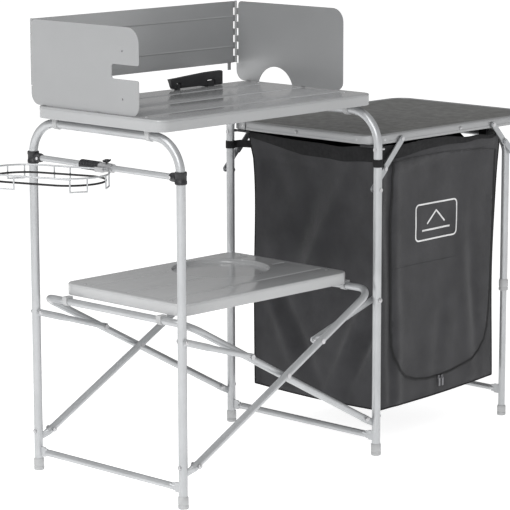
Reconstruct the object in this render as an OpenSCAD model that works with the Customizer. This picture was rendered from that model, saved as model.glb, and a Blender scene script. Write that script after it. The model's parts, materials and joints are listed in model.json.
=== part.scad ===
// Folding camp kitchen table: a two-level cooking stand on a scissor frame,
// with a windscreen, a bag ring and a side table that carries a fabric cupboard.
// Origin: centre of the front-left foot's underside.
// +X runs along the cook's side, +Y to the rear, +Z up.

/* [Main stand] */
// Distance between the left and right leg planes
stand_w = 600; // [560:5:640]
// Distance between the front and rear legs, centre to centre
stand_d = 450; // [430:5:480]
// Height of the main deck's cooking surface
deck_top = 804; // [780:2:830]
// Height of the lower shelf's surface
shelf_top = 416; // [400:2:430]
// Outside diameter of the leg tubes
leg_od = 19; // [18:0.5:20]
// Wall of every tube
tube_wall = 1.2; // [1:0.1:1.6]
// Bend radius of the leg tubes' top corners
leg_bend = 74; // [66:2:80]
// Outside diameter of the scissor tubes
brace_od = 16; // [14:0.5:16]

/* [Decks] */
// Main deck length along X
deck_l = 648; // [630:2:660]
// Main deck width along Y
deck_w = 385; // [370:5:390]
// Lower shelf length along X
shelf_l = 517; // [500:1:520]
// Lower shelf width along Y
shelf_w = 368; // [350:2:372]
// Depth of the rim round both decks
rim_h = 25; // [22:1:28]
// Radius of the round recess in the lower shelf
recess_r = 108; // [90:1:112]

/* [Windscreen] */
// Length of the back panel between its hinges
screen_w = 615; // [590:5:620]
// Height of the windscreen's top edge above the deck
screen_h = 181; // [160:1:200]
// Length of the left wing
wing_left_l = 330; // [300:2:332]
// Length of the right wing
wing_right_l = 327; // [300:1:332]
// Sheet thickness
sheet_t = 1.4; // [1:0.1:2]

/* [Side table] */
// Height of the side table's surface
side_top = 711; // [700:1:716]
// Length of the side table's board along X
side_l = 600; // [560:5:620]
// Width of the side table along Y
side_w = 440; // [400:2:444]
// Distance from the right leg plane to the side legs
side_legs_x = 485; // [470:5:500]

/* [Cupboard] */
// Fabric cupboard's length along X
cup_l = 422; // [400:2:424]
// Fabric cupboard's depth along Y
cup_d = 385; // [370:5:385]
// Height of the cupboard's floor above the ground
cup_floor = 92; // [85:1:110]
// Fabric thickness
cloth_t = 2; // [1.5:0.5:3]

/* [Bag ring] */
// Half width of the wire hoop along X
ring_rx = 79; // [70:1:84]
// Half length of the wire hoop along Y
ring_ry = 136; // [120:1:150]
// Wire diameter of the hoop
ring_wire = 4; // [3:0.5:5]

/* [Hidden] */

$fn = 48;

FRAME_GREY = [0.74, 0.75, 0.76];
PANEL_GREY = [0.66, 0.67, 0.67];
CLIP_GREY = [0.80, 0.80, 0.79];
BLACK_PLASTIC = [0.12, 0.12, 0.13];
BOARD_GREY = [0.35, 0.35, 0.33];
CLOTH_GREY = [0.24, 0.24, 0.26];
BOLT_STEEL = [0.62, 0.62, 0.62];

leg_r = leg_od / 2;
brace_r = brace_od / 2;
fit = 0.05;              // running clearance on a radius
gap = 0.5;               // clear space between pieces that pass each other
rivet_r = 2.5;
head_r = 4.5;
ear_t = 2;               // thickness of a clevis ear

// Frames
foot_r = leg_r + 1.7;
foot_h = 27;
foot_sole = 4;
deck_under = deck_top - rim_h;
clip_pad = 3;
frame_z = deck_under - clip_pad - leg_r;      // centre line of the frames' top tubes
rail_z = 43;
rail_r = 7.5;
bar_z = 689;
bar_r = 6.5;
collar_bolt_y = [leg_r + 13, stand_d - leg_r - 13];
collar_bolt_r = 2;
clip_y = [88, stand_d - 81];
clip_w = 13;

// Scissor: both braces pivot 30 mm inboard of the legs and cross half way
pivot_x = 30;
pivot_z = 88;
shelf_under = shelf_top - rim_h;
brace_top_x = 28;
brace_top_z = shelf_under - clip_pad - brace_r;
brace_dx = stand_w - brace_top_x - pivot_x;
brace_dz = brace_top_z - pivot_z;
brace_len = norm([brace_dx, brace_dz]);
brace_angle = atan2(brace_dz, brace_dx);
cross_len = (stand_w / 2 - pivot_x) / cos(brace_angle);
cross_z = pivot_z + cross_len * sin(brace_angle);
brace_bend = 38;
plane_off = 9;                                // each brace sits this far off the leg plane
pin_r = 3;
strut_t = 3.5;
strut_from_cross = 122;                       // from the crossing to the strut's pivot
strut_leg_z = 352;
strut_slot = 52;
strut_gap = leg_r + 1;

// Decks
deck_x = (stand_w - deck_l) / 2;
deck_y = (stand_d - deck_w) / 2;
shelf_x = (stand_w - shelf_l) / 2;
shelf_y = (stand_d - shelf_w) / 2;
skin = 3;
groove_w = 9;
groove_d = 1.4;
recess_x = 395;
recess_y = 281;
recess_depth = 9;

// Windscreen
screen_x = -12;
screen_y = deck_y + deck_w + 17;
screen_z = deck_top + 1;
screen_top = deck_top + screen_h;
back_z = deck_top + 41;
knuckle_r = 3;
knuckle_n = 9;
knuckle_pin_r = 1.3;

// Side table
side_x = stand_w + 6;
side_y = 20;
side_mid = side_y + side_w / 2;
side_corner = 40;
rail_h = 20;
rail_w = 14;
board_t = 6;
side_leg_x = stand_w + side_legs_x;
side_leg_z = side_top - 43;                   // the side leg frame's top tube and fold axis
side_leg_y = 32;
side_leg_r = 9;
side_inner_r = side_leg_r - tube_wall - fit;
side_bend = 42;
side_split_z = 306;
stay_t = 3;
stay_w = 14;
stay_y = side_y - 5;
stay_u = [side_leg_x - 65, side_top - 13];    // rivet on the rail
stay_v = [side_leg_x, side_leg_z - 38];       // rivet by the leg
stay_len = norm(stay_v - stay_u);
stay_angle = atan2(stay_v[1] - stay_u[1], stay_v[0] - stay_u[0]);
stay_upper = stay_len * 0.62;
stay_step = 0.3;                              // free space between two stay bars
stay_outer = stay_y - stay_t - stay_step;     // outer face of the outer bars

// Cupboard
cup_x = stand_w + 20;
cup_y = side_y + 2;
cup_top = side_top - 23;
door_w = 346;
door_h = 505;
door_x = cup_x + 56;
door_z = cup_floor + 42;

// Bag ring
ring_place = [-115, 277, bar_z - 2];
ring_turn = 18.7;
ring_r = ring_wire / 2;
elastic_drop = 15;
clamp_y = 215;

// ---- shared shapes -----------------------------------------------------------

// Straight tube along +Z
module tube(od, h, wall = tube_wall) {
    difference() {
        cylinder(d = od, h = h);
        translate([0, 0, -1]) cylinder(d = od - 2 * wall, h = h + 2);
    }
}

// Quarter bend: starts at the origin heading +Z and ends heading +Y; a wall of half the
// diameter makes it solid
module bend(od, r, wall = tube_wall) {
    translate([0, r, 0]) rotate([0, 90, 0]) rotate([0, 0, 180])
        rotate_extrude(angle = 90, $fn = 64) translate([r, 0]) difference() {
            circle(d = od);
            if (wall < od / 2) circle(d = od - 2 * wall);
        }
}

// Upright U tube in the YZ plane, feet at z = low, top centre line at z = top
module u_tube(od, d, low, top, r, wall = tube_wall) {
    for (m = [0, 1])
        translate([0, m * d, 0]) mirror([0, m, 0]) {
            translate([0, 0, low]) tube(od, top - r - low, wall);
            translate([0, 0, top - r]) bend(od, r, wall);
        }
    translate([0, r, top]) rotate([-90, 0, 0]) tube(od, d - 2 * r, wall);
}

// Round pin along +Y with a domed head at each end
module y_pin(r, y0, y1, head_r, head_h = 1.6) {
    translate([0, y0, 0]) rotate([-90, 0, 0]) cylinder(r = r, h = y1 - y0);
    translate([0, y0 - head_h, 0]) rotate([-90, 0, 0]) cylinder(r = head_r, h = head_h);
    translate([0, y1, 0]) rotate([-90, 0, 0]) cylinder(r = head_r, h = head_h);
}

// Flat bar in the XZ plane from [0, 0] to [len, 0] with round ends
module flat_bar(len, w, t) {
    rotate([90, 0, 0]) translate([0, 0, -t]) linear_extrude(t) {
        circle(d = w);
        translate([len, 0]) circle(d = w);
        translate([0, -w / 2]) square([len, w]);
    }
}

// Rectangle with round corners, from the origin
module round_rect(l, w, r) {
    translate([r, 0]) square([l - 2 * r, w]);
    translate([0, r]) square([l, w - 2 * r]);
    for (x = [r, l - r], y = [r, w - r]) translate([x, y]) circle(r = r);
}

// Mirrored copy about the middle of the stand in X
module other_side() {
    translate([stand_w, 0, 0]) mirror([1, 0, 0]) children();
}

// ---- frames ------------------------------------------------------------------

// Holes through one side frame for its bracket, strut and side table bolts
module frame_holes() {
    for (y = [0, stand_d]) {
        translate([-20, y, pivot_z]) rotate([0, 90, 0]) cylinder(r = rivet_r, h = 40);
        translate([0, y - 20, strut_leg_z]) rotate([-90, 0, 0]) cylinder(r = pin_r, h = 40);
    }
}

module frame_tube() {
    difference() {
        u_tube(leg_od, stand_d, foot_sole, frame_z, leg_bend);
        frame_holes();
    }
}

module left_frame_tube() { color(FRAME_GREY) frame_tube(); }
module right_frame_tube() {
    color(FRAME_GREY) difference() {
        other_side() frame_tube();
        for (y = [0, stand_d]) {
            translate([stand_w, y - 20, side_stay_z]) rotate([-90, 0, 0])
                cylinder(r = rivet_r, h = 40);
            translate([stand_w - 20, y, mount_z]) rotate([0, 90, 0]) cylinder(r = rivet_r, h = 40);
        }
    }
}

module feet_pair() {
    for (y = [0, stand_d]) translate([0, y, 0]) difference() {
        union() {
            cylinder(r1 = foot_r - 0.8, r2 = foot_r, h = 2);
            translate([0, 0, 2]) cylinder(r = foot_r, h = foot_h - 3.5);
            translate([0, 0, foot_h - 1.5]) cylinder(r1 = foot_r, r2 = foot_r - 0.7, h = 1.5);
        }
        translate([0, 0, foot_sole]) cylinder(r = leg_r, h = foot_h);
    }
}

module left_feet() { color(CLIP_GREY) feet_pair(); }
module right_feet() { color(CLIP_GREY) other_side() feet_pair(); }

// Rail between two legs with its ends flattened to blades against the legs
module lower_rail(r, z, d, od) {
    blade = 34;
    blade_h = 21;
    difference() {
        union() {
            translate([0, blade, z]) rotate([-90, 0, 0]) tube(2 * r, d - 2 * blade);
            for (m = [0, 1]) translate([0, m * d, 0]) mirror([0, m, 0]) {
                translate([-2, 0, z - blade_h / 2]) cube([4, blade - 12, blade_h]);
                translate([0, blade - 12, z]) rotate([-90, 0, 0])
                    cylinder(r1 = 2, r2 = r, h = 12.01);
                translate([-2, blade - 12, z - 8]) cube([4, 8, 16]);
            }
        }
        for (y = [0, d]) translate([0, y, 0]) cylinder(d = od, h = z + 60);
    }
}

module left_lower_rail() { color(FRAME_GREY) lower_rail(rail_r, rail_z, stand_d, leg_od); }
module right_lower_rail() {
    color(FRAME_GREY) other_side() lower_rail(rail_r, rail_z, stand_d, leg_od);
}

module crossbar() {
    color(FRAME_GREY) difference() {
        translate([0, leg_r + 6, bar_z]) rotate([-90, 0, 0]) tube(2 * bar_r, stand_d - 2 * leg_r - 12);
        for (y = collar_bolt_y) translate([-20, y, bar_z]) rotate([0, 90, 0])
            cylinder(r = collar_bolt_r, h = 40);
    }
}

// Black collar round a leg, with an ear that grips the crossbar's end
module collar() {
    difference() {
        union() {
            translate([0, 0, bar_z - 13]) cylinder(r = leg_r + 3.2, h = 26);
            translate([0, leg_r, bar_z]) rotate([-90, 0, 0]) cylinder(r = bar_r + 3.2, h = 18);
        }
        translate([0, 0, bar_z - 20]) cylinder(r = leg_r, h = frame_z - leg_bend - bar_z + 20);
        translate([0, 0, frame_z - leg_bend]) bend(leg_od, leg_bend, leg_r);
        translate([0, leg_r + 6, bar_z]) rotate([-90, 0, 0]) cylinder(r = bar_r, h = 30);
        translate([-20, collar_bolt_y[0], bar_z]) rotate([0, 90, 0])
            cylinder(r = collar_bolt_r, h = 40);
    }
}

module crossbar_collars() {
    color(BLACK_PLASTIC) {
        collar();
        translate([0, stand_d, 0]) mirror([0, 1, 0]) collar();
    }
}

module collar_bolts() {
    ear_r = bar_r + 3.2;
    color(BOLT_STEEL) for (y = collar_bolt_y) translate([0, y, bar_z]) {
        translate([-ear_r, 0, 0]) rotate([0, 90, 0]) cylinder(r = collar_bolt_r, h = 2 * ear_r);
        for (m = [0, 1]) mirror([m, 0, 0]) rotate([0, -90, 0]) {
            translate([0, 0, ear_r]) cylinder(r = 3.4, h = 2);
            translate([0, 0, ear_r + 2]) cylinder(r1 = 3.4, r2 = 2, h = 1);
        }
    }
}

// Clevis on a leg's inboard side that carries a brace's lower pivot
module bracket(y) {
    half = brace_r + gap;
    translate([0, y, pivot_z]) for (s = [-1, 1]) {
        translate([leg_r, s > 0 ? half : -half - ear_t, -11]) difference() {
            cube([pivot_x - leg_r, ear_t, 22]);
            translate([pivot_x - leg_r, -1, 11]) rotate([-90, 0, 0]) cylinder(r = pin_r, h = 9);
        }
        translate([pivot_x, s > 0 ? half : -half - ear_t, 0]) rotate([-90, 0, 0]) difference() {
            cylinder(r = 11, h = ear_t);
            translate([0, 0, -1]) cylinder(r = pin_r, h = 9);
        }
    }
}

module bracket_web(leg_y, y) {
    half = brace_r + gap + ear_t;
    difference() {
        translate([leg_r - 3, y - half, pivot_z - 11]) cube([5, 2 * half, 22]);
        translate([0, leg_y, 0]) cylinder(r = leg_r, h = 200);
        translate([-20, leg_y, pivot_z]) rotate([0, 90, 0]) cylinder(r = rivet_r, h = 60);
    }
}

module left_brackets() {
    color(CLIP_GREY) for (y = [0, stand_d]) {
        bracket(y - plane_off);
        bracket_web(y, y - plane_off);
    }
}

module right_brackets() {
    color(CLIP_GREY) other_side() for (y = [0, stand_d]) {
        bracket(y + plane_off);
        bracket_web(y, y + plane_off);
    }
}

// Bolts through one frame: one per bracket along X, one per strut and per brace along Y
module frame_bolts(strut_side) {
    pivot_half = brace_r + gap + ear_t;
    for (y = [0, stand_d]) {
        translate([-leg_r, y, pivot_z]) rotate([0, 90, 0]) {
            cylinder(r = rivet_r, h = 2 * leg_r);
            translate([0, 0, -2]) cylinder(r = head_r, h = 2);
        }
        pivot_y = y + strut_side * plane_off;
        translate([pivot_x, 0, pivot_z]) y_pin(pin_r, pivot_y - pivot_half, pivot_y + pivot_half, 5.5);
        near = strut_side < 0 ? y - strut_gap - strut_t - gap : y - leg_r;
        far = strut_side < 0 ? y + leg_r : y + strut_gap + strut_t + gap;
        translate([0, 0, strut_leg_z]) y_pin(pin_r, near, far, 5.5);
    }
}

module left_frame_bolts() { color(BOLT_STEEL) frame_bolts(-1); }

// Bolt along +Z of its own frame, its head below the origin
module headed_bolt(r, len, cap_h = 1.6) {
    cylinder(r = r, h = len);
    translate([0, 0, -cap_h]) cylinder(r = head_r, h = cap_h);
}

// The right frame also carries the side table's bolts and its rails' rivets
module right_frame_bolts() {
    color(BOLT_STEEL) {
        other_side() frame_bolts(1);
        rear_stay = 2 * side_mid - stand_d - stay_outer;
        for (stay = [[0, stay_y], [stand_d, rear_stay]])
            translate([stand_w, stay[0], side_stay_z]) rotate([-90, 0, 0]) {
                translate([0, 0, -leg_r]) headed_bolt(rivet_r, leg_r + stay[1]);
                translate([0, 0, stay[1]]) cylinder(r = head_r, h = 1.4);
            }
        rear_copy() translate([stand_w - leg_r, 0, mount_z]) rotate([0, 90, 0])
            headed_bolt(rivet_r, leg_r + 20);
        side_copy() {
            for (p = [fixed_u, stay_u]) translate([p[0], stay_y, p[1]]) rotate([-90, 0, 0])
                headed_bolt(rivet_r, side_y - stay_y);
            translate([fixed_mid[0], stay_outer, fixed_mid[1]]) rotate([-90, 0, 0])
                headed_bolt(rivet_r, 2 * stay_t + stay_step);
        }
    }
}

// Snap clip round a top tube with a flat pad up to the panel above it
module tube_clip(r, z, pad_z) {
    rotate([-90, 0, 0]) translate([0, -z, 0]) difference() {
        cylinder(r = r + 1.8, h = clip_w);
        translate([0, 0, -1]) cylinder(r = r, h = clip_w + 2);
    }
    difference() {
        translate([-r - 1.8, 0, z]) cube([2 * r + 3.6, clip_w, pad_z - z]);
        translate([0, -1, z]) rotate([-90, 0, 0]) cylinder(r = r, h = clip_w + 2);
    }
}

module deck_clips() {
    for (y = clip_y) translate([0, y - clip_w / 2, 0]) tube_clip(leg_r, frame_z, deck_under);
}

module left_deck_clips() { color(CLIP_GREY) deck_clips(); }
module right_deck_clips() { color(CLIP_GREY) other_side() deck_clips(); }

// ---- scissor -----------------------------------------------------------------

// Brace in its own plane: pivot at the origin, arms along +X, cross tube at brace_len
module brace_shape(cross_bore) {
    difference() {
        union() {
            rotate([0, 90, 0]) u_tube(brace_od, stand_d, -11, brace_len, brace_bend);
            for (y = [0, stand_d]) translate([-11, y, 0]) rotate([0, 90, 0])
                cylinder(r = brace_r - tube_wall, h = 20);
        }
        for (y = [0, stand_d]) {
            translate([0, y - 20, 0]) rotate([-90, 0, 0]) cylinder(r = pin_r + fit, h = 40);
            translate([cross_len, y - 20, 0]) rotate([-90, 0, 0]) cylinder(r = cross_bore, h = 40);
            translate([cross_len + strut_from_cross, y - 20, 0]) rotate([-90, 0, 0])
                cylinder(r = pin_r, h = 40);
        }
    }
}

// Brace A rises to the right, brace B is its mirror image one plane to the rear
module place_brace() {
    translate([pivot_x, -plane_off, pivot_z]) rotate([0, -brace_angle, 0]) children();
}

module place_brace_b() {
    other_side() translate([pivot_x, plane_off, pivot_z]) rotate([0, -brace_angle, 0]) children();
}

module brace_a_tube() { color(FRAME_GREY) place_brace() brace_shape(pin_r); }
module brace_b_tube() { color(FRAME_GREY) place_brace_b() brace_shape(pin_r + fit); }

// Crossing bolts and the strut pins fixed in brace A
module brace_a_pins() {
    color(BOLT_STEEL) place_brace() for (y = [0, stand_d]) {
        translate([cross_len, 0, 0])
            y_pin(pin_r, y - brace_r, y + 2 * plane_off + brace_r + gap, 5.5);
        translate([cross_len + strut_from_cross, 0, 0])
            y_pin(pin_r, y - brace_r, y + plane_off + strut_gap + strut_t + gap, 5.5);
    }
}

// Strut pins fixed in brace B
module brace_b_pins() {
    color(BOLT_STEEL) place_brace_b() for (y = [0, stand_d])
        translate([cross_len + strut_from_cross, 0, 0])
            y_pin(pin_r, y - plane_off - strut_gap - strut_t - gap, y + brace_r, 5.5);
}

strut_px = stand_w - pivot_x - (cross_len + strut_from_cross) * cos(brace_angle);
strut_pz = pivot_z + (cross_len + strut_from_cross) * sin(brace_angle);
strut_len = norm([strut_px, strut_leg_z - strut_pz]);
strut_angle = atan2(strut_leg_z - strut_pz, -strut_px);

// Tubular strut flattened at both ends: a round hole on the brace's pin and a long slot
// round the leg's bolt
module strut() {
    w = 17;
    tube_r = 6;
    tube_from = 22;
    tube_to = strut_len - strut_slot - 14;
    slot_w = 2 * pin_r + 5;
    difference() {
        union() {
            flat_bar(strut_len + 8, w, strut_t);
            translate([tube_from, strut_t / 2, 0]) rotate([0, 90, 0]) {
                cylinder(r = tube_r, h = tube_to - tube_from);
                translate([0, 0, -8]) cylinder(r1 = 1.8, r2 = tube_r, h = 8);
                translate([0, 0, tube_to - tube_from]) cylinder(r1 = tube_r, r2 = 1.8, h = 8);
            }
        }
        translate([0, -1, 0]) rotate([-90, 0, 0]) cylinder(r = pin_r + fit, h = 9);
        translate([strut_len - strut_slot, -1, -slot_w / 2]) cube([strut_slot, 9, slot_w]);
        for (x = [strut_len - strut_slot, strut_len])
            translate([x, -1, 0]) rotate([-90, 0, 0]) cylinder(d = slot_w, h = 9);
    }
}

module strut_pair(off) {
    for (y = [0, stand_d]) translate([strut_px, y + off, strut_pz])
        rotate([0, -strut_angle, 0]) strut();
}

module left_struts() { color(FRAME_GREY) strut_pair(-strut_gap - strut_t); }
module right_struts() { color(FRAME_GREY) other_side() strut_pair(strut_gap); }

// ---- decks -------------------------------------------------------------------

// Pressed panel: flat top, skirt all round and shallow grooves along X
module panel(l, w, r) {
    difference() {
        linear_extrude(rim_h) round_rect(l, w, r);
        translate([2, 2, -1]) linear_extrude(rim_h - skin + 1) round_rect(l - 4, w - 4, r - 2);
        for (f = groove_places) translate([16, w * f - groove_w / 2, rim_h - groove_d])
            cube([l - 32, groove_w, 5]);
    }
}

groove_places = [0.2, 0.5, 0.8];              // across a panel's width

module main_deck() {
    color(PANEL_GREY) translate([deck_x, deck_y, deck_under]) panel(deck_l, deck_w, 28);
}

// Stiffening battens under the main deck, over the frames' clips
module deck_battens() {
    color(PANEL_GREY) for (x = [-15, stand_w - 15]) difference() {
        translate([x, deck_y + 12, deck_under]) cube([30, deck_w - 24, rim_h - skin]);
        translate([x + 2, deck_y + 10, deck_under + 2]) cube([26, deck_w - 20, rim_h]);
    }
}

module panel_rivets(xs, ys, z) {
    color(BOLT_STEEL) for (x = xs, y = ys) translate([x, y, z])
        cylinder(r1 = 3.2, r2 = 2.2, h = 0.9, $fn = 24);
}

module deck_rivets() {
    panel_rivets([0, stand_w], [clip_y[0] + 10, clip_y[1] - 10], deck_top);
}

module lower_shelf() {
    color(PANEL_GREY) translate([shelf_x, shelf_y, shelf_under]) difference() {
        union() {
            panel(shelf_l, shelf_w, 28);
            translate([recess_x - shelf_x, recess_y - shelf_y, rim_h - recess_depth - skin])
                cylinder(r = recess_r + 2.5, h = recess_depth + skin, $fn = 96);
        }
        translate([recess_x - shelf_x, recess_y - shelf_y, rim_h - recess_depth])
            cylinder(r = recess_r, h = 20, $fn = 96);
    }
}

module shelf_battens() {
    color(PANEL_GREY) for (x = [shelf_x + 8, stand_w - shelf_x - 36]) difference() {
        translate([x, shelf_y + 12, shelf_under]) cube([28, shelf_w - 24, rim_h - skin]);
        translate([x + 2, shelf_y + 10, shelf_under + 2]) cube([24, shelf_w - 20, rim_h]);
    }
}

module shelf_rivets() {
    panel_rivets([shelf_x + 20, stand_w - shelf_x - 22], [shelf_y + 52, shelf_y + shelf_w - 52], shelf_top);
}

// Clips that turn on the braces' cross tubes and stay level under the shelf
module brace_clips(off) {
    for (y = [80, stand_d - 80]) translate([0, y + off - clip_w / 2, 0])
        tube_clip(brace_r + fit, brace_top_z, shelf_under);
}

module shelf_clips_right() {
    color(CLIP_GREY) translate([stand_w - brace_top_x, 0, 0]) brace_clips(-plane_off);
}

module shelf_clips_left() {
    color(CLIP_GREY) translate([brace_top_x, 0, 0]) brace_clips(plane_off);
}

// ---- carry handle ------------------------------------------------------------

handle_x = 362;
handle_l = 156;
handle_y = deck_y + deck_w - 19;
handle_z = deck_top + 7;
handle_t = 12;
handle_pin = 2;
handle_slots = [[12, 13], [107, 25]];         // start and length of the grip's two slots
slot_top = 14;

// Upright grip seen from the cook's side, about its pin's axis
module grip_outline() {
    polygon([[0, -1], [-7, 18], [60, 22.6], [112, 25.6], [handle_l, 26], [handle_l, 0]]);
}

// Black handle standing on the deck, turning on two stub pins in its slots
module carry_handle() {
    color(BLACK_PLASTIC) translate([handle_x, handle_y, handle_z]) difference() {
        union() {
            translate([0, handle_t / 2, 0]) rotate([90, 0, 0]) linear_extrude(handle_t) grip_outline();
            translate([2, 0, 0]) rotate([0, 90, 0]) cylinder(r = 4.4, h = handle_l - 4);
            translate([96, 0, 0]) rotate([0, 90, 0]) cylinder(r = 6.4, h = handle_l - 96);
        }
        for (slot = handle_slots) translate([slot[0], 0, 0]) {
            translate([0, -handle_t, -7]) cube([slot[1], 2 * handle_t, slot_top + 7]);
            translate([-6, 0, 0]) rotate([0, 90, 0]) cylinder(r = handle_pin + fit, h = slot[1] + 12);
        }
    }
}

module handle_brackets() {
    color(BLACK_PLASTIC) for (slot = handle_slots)
        translate([handle_x + slot[0], handle_y, handle_z]) {
            translate([2, -5, deck_top - handle_z]) cube([slot[1] - 4, 10, 12]);
            translate([-5, 0, 0]) rotate([0, 90, 0]) cylinder(r = handle_pin, h = slot[1] + 10);
        }
}

// ---- windscreen --------------------------------------------------------------

// Rectangle from the origin with its own radius at each corner:
// [lower left, lower right, upper right, upper left]
module cut_rect(l, h, radii) {
    corners = [[0, 0, 1, 1], [l, 0, -1, 1], [l, h, -1, -1], [0, h, 1, -1]];
    difference() {
        square([l, h]);
        for (i = [0:3]) translate([corners[i][0], corners[i][1]])
            scale([corners[i][2], corners[i][3]]) difference() {
                translate([-1, -1]) square(radii[i] + 1);
                translate([radii[i], radii[i]]) circle(r = radii[i]);
            }
    }
}

knuckle_pitch = (screen_top - back_z) / knuckle_n;

// Hinge knuckles of one parity up one end of the back panel
module knuckles(parity, bore) {
    for (i = [0:knuckle_n - 1]) if (i % 2 == parity)
        translate([0, 0, back_z + i * knuckle_pitch + 0.3]) difference() {
            cylinder(r = knuckle_r, h = knuckle_pitch - 0.6, $fn = 24);
            translate([0, 0, -1]) cylinder(r = bore, h = knuckle_pitch + 2, $fn = 24);
        }
}

module knuckle_space(parity) {
    for (i = [0:knuckle_n - 1]) if (i % 2 == parity)
        translate([-knuckle_r - 1, -knuckle_r - 1, back_z + i * knuckle_pitch - 0.001])
            cube([2 * knuckle_r + 2, 2 * knuckle_r + 2, knuckle_pitch + 0.002]);
}

module screen_back() {
    color(PANEL_GREY) {
        difference() {
            union() {
                translate([screen_x, screen_y + knuckle_r - sheet_t, back_z])
                    cube([screen_w, sheet_t, screen_top - back_z]);
                for (x = [0, screen_w]) translate([screen_x + x, screen_y, 0])
                    knuckles(0, knuckle_pin_r);
            }
            for (x = [0, screen_w]) translate([screen_x + x, screen_y, 0]) {
                knuckle_space(1);
                translate([0, 0, back_z - 1]) cylinder(r = knuckle_pin_r, h = screen_h, $fn = 24);
            }
        }
        translate([screen_x + screen_w - 15, screen_y + knuckle_r - sheet_t, back_z - 16])
            cube([10, sheet_t, 16]);
    }
}

// Wing in its own frame: hinge axis at the origin, sheet along -Y, outer side -X
module wing(l, notch) {
    foot_drop = screen_z - deck_top - 0.2;
    difference() {
        union() {
            translate([sheet_t - knuckle_r, 0, screen_z]) rotate([90, 0, -90])
                linear_extrude(sheet_t) difference() {
                    cut_rect(l, screen_top - screen_z, [24, 19, 31, 9]);
                    wing_cut(l, notch);
                }
            for (u = [34, 202]) translate([-knuckle_r, -u - 12, screen_z - foot_drop])
                cube([sheet_t, 12, foot_drop + 0.01]);
            knuckles(1, knuckle_pin_r + fit);
        }
        knuckle_space(0);
        translate([0, 0, back_z - 1]) cylinder(r = knuckle_pin_r + fit, h = screen_h, $fn = 24);
    }
}

// What is cut from a wing: a slot open to the free end, or an arch at the foot
module wing_cut(l, notch) {
    if (notch) translate([l - 81, 73]) square([82, 30]);
    else translate([122, -17]) circle(r = 55);
}

module screen_left_wing() {
    color(PANEL_GREY) translate([screen_x, screen_y, 0]) wing(wing_left_l, true);
}

module screen_right_wing() {
    color(PANEL_GREY) translate([screen_x + screen_w, screen_y, 0]) mirror([1, 0, 0])
        wing(wing_right_l, false);
}

module screen_hinge_pins() {
    color(BOLT_STEEL) for (x = [0, screen_w]) translate([screen_x + x, screen_y, back_z]) {
        cylinder(r = knuckle_pin_r, h = screen_top - back_z, $fn = 24);
        translate([0, 0, screen_top - back_z]) cylinder(r = 2.2, h = 0.8, $fn = 24);
    }
}

// ---- bag ring ----------------------------------------------------------------

// Oval of round wire lying flat: two half circles joined by straights along Y
module oval_wire(rx, ry, r) {
    straight = ry - rx;
    for (s = [-1, 1]) {
        translate([0, s * straight, 0]) rotate([0, 0, s > 0 ? 0 : 180])
            rotate_extrude(angle = 180, $fn = 64) translate([rx, 0]) circle(r = r, $fn = 24);
        translate([s * rx, -straight, 0]) rotate([-90, 0, 0]) cylinder(r = r, h = 2 * straight, $fn = 24);
    }
}

// U of wire hanging from the hoop, spanning w along X before it is turned
module wire_drop(w, h, r) {
    for (s = [-1, 1]) translate([s * w / 2, 0, -h]) {
        cylinder(r = r, h = h, $fn = 24);
        sphere(r = r, $fn = 24);
    }
    translate([-w / 2, 0, -h]) rotate([0, 90, 0]) cylinder(r = r, h = w, $fn = 24);
}

// Moves a shape drawn about the hoop's centre to its place beside the crossbar
module at_ring(z = 0) { translate(ring_place + [0, 0, z]) rotate([0, 0, ring_turn]) children(); }

drop_r = 1.7;
drop_y = [51, 8];
end_y = ring_ry - ring_rx;

// Drops stand on the hoop's four quarters, two on the straights and two on the ends
module ring_drops() {
    for (i = [0, 1]) {
        s = 2 * i - 1;
        translate([s * ring_rx, drop_y[i], 0]) rotate([0, 0, 90]) wire_drop(38, 28, drop_r);
        for (a = [-49, 18]) rotate([0, 0, s > 0 ? 0 : 180]) translate([0, end_y, 0])
            rotate([0, 0, a]) translate([0, ring_rx, 0]) intersection() {
                translate([0, -3, 0]) wire_drop(36, 28, drop_r);
                translate([-30, -20, -40]) cube([60, 40, 80]);
            }
    }
}

module ring_hoop() {
    color(FRAME_GREY) at_ring() {
        oval_wire(ring_rx, ring_ry, ring_r);
        ring_drops();
    }
}

// Elastic that holds a bag's mouth on the hoop, inside the drops
module ring_elastic() {
    color(BLACK_PLASTIC) at_ring(-elastic_drop)
        oval_wire(ring_rx - 7, ring_ry - 7, 1.3);
}

module bar_bush(y0, y1, r) {
    translate([0, y0, bar_z]) rotate([-90, 0, 0]) difference() {
        cylinder(r = r, h = y1 - y0);
        translate([0, 0, -1]) cylinder(r = bar_r + fit, h = y1 - y0 + 2);
    }
}

module ring_sleeve() { color(BLACK_PLASTIC) bar_bush(clamp_y + 23, clamp_y + 81, bar_r + 4); }

// Clamp on the crossbar with a lug that grips the hoop
module ring_clamp() {
    color(BOLT_STEEL) difference() {
        union() {
            bar_bush(clamp_y - 16, clamp_y + 22.5, bar_r + 3);
            difference() {
                translate([-26, clamp_y - 10, ring_place[2] - 5]) cube([20, 24, 10]);
                translate([0, clamp_y - 20, bar_z]) rotate([-90, 0, 0])
                    cylinder(r = bar_r + 3, h = 60);
            }
        }
        at_ring() oval_wire(ring_rx, ring_ry, ring_r);
        translate([0, clamp_y + 4, bar_z]) cylinder(r = 2 + fit, h = 20);
    }
}

// Wing screw that tightens the clamp
module clamp_screw() {
    color(BLACK_PLASTIC) translate([0, clamp_y + 4, bar_z + bar_r + 0.3]) {
        cylinder(r = 2, h = 8);
        translate([0, 0, 4]) cylinder(r = 5.5, h = 6);
        translate([-11, -1.5, 6]) cube([22, 3, 9]);
    }
}

// ---- side table --------------------------------------------------------------

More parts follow.
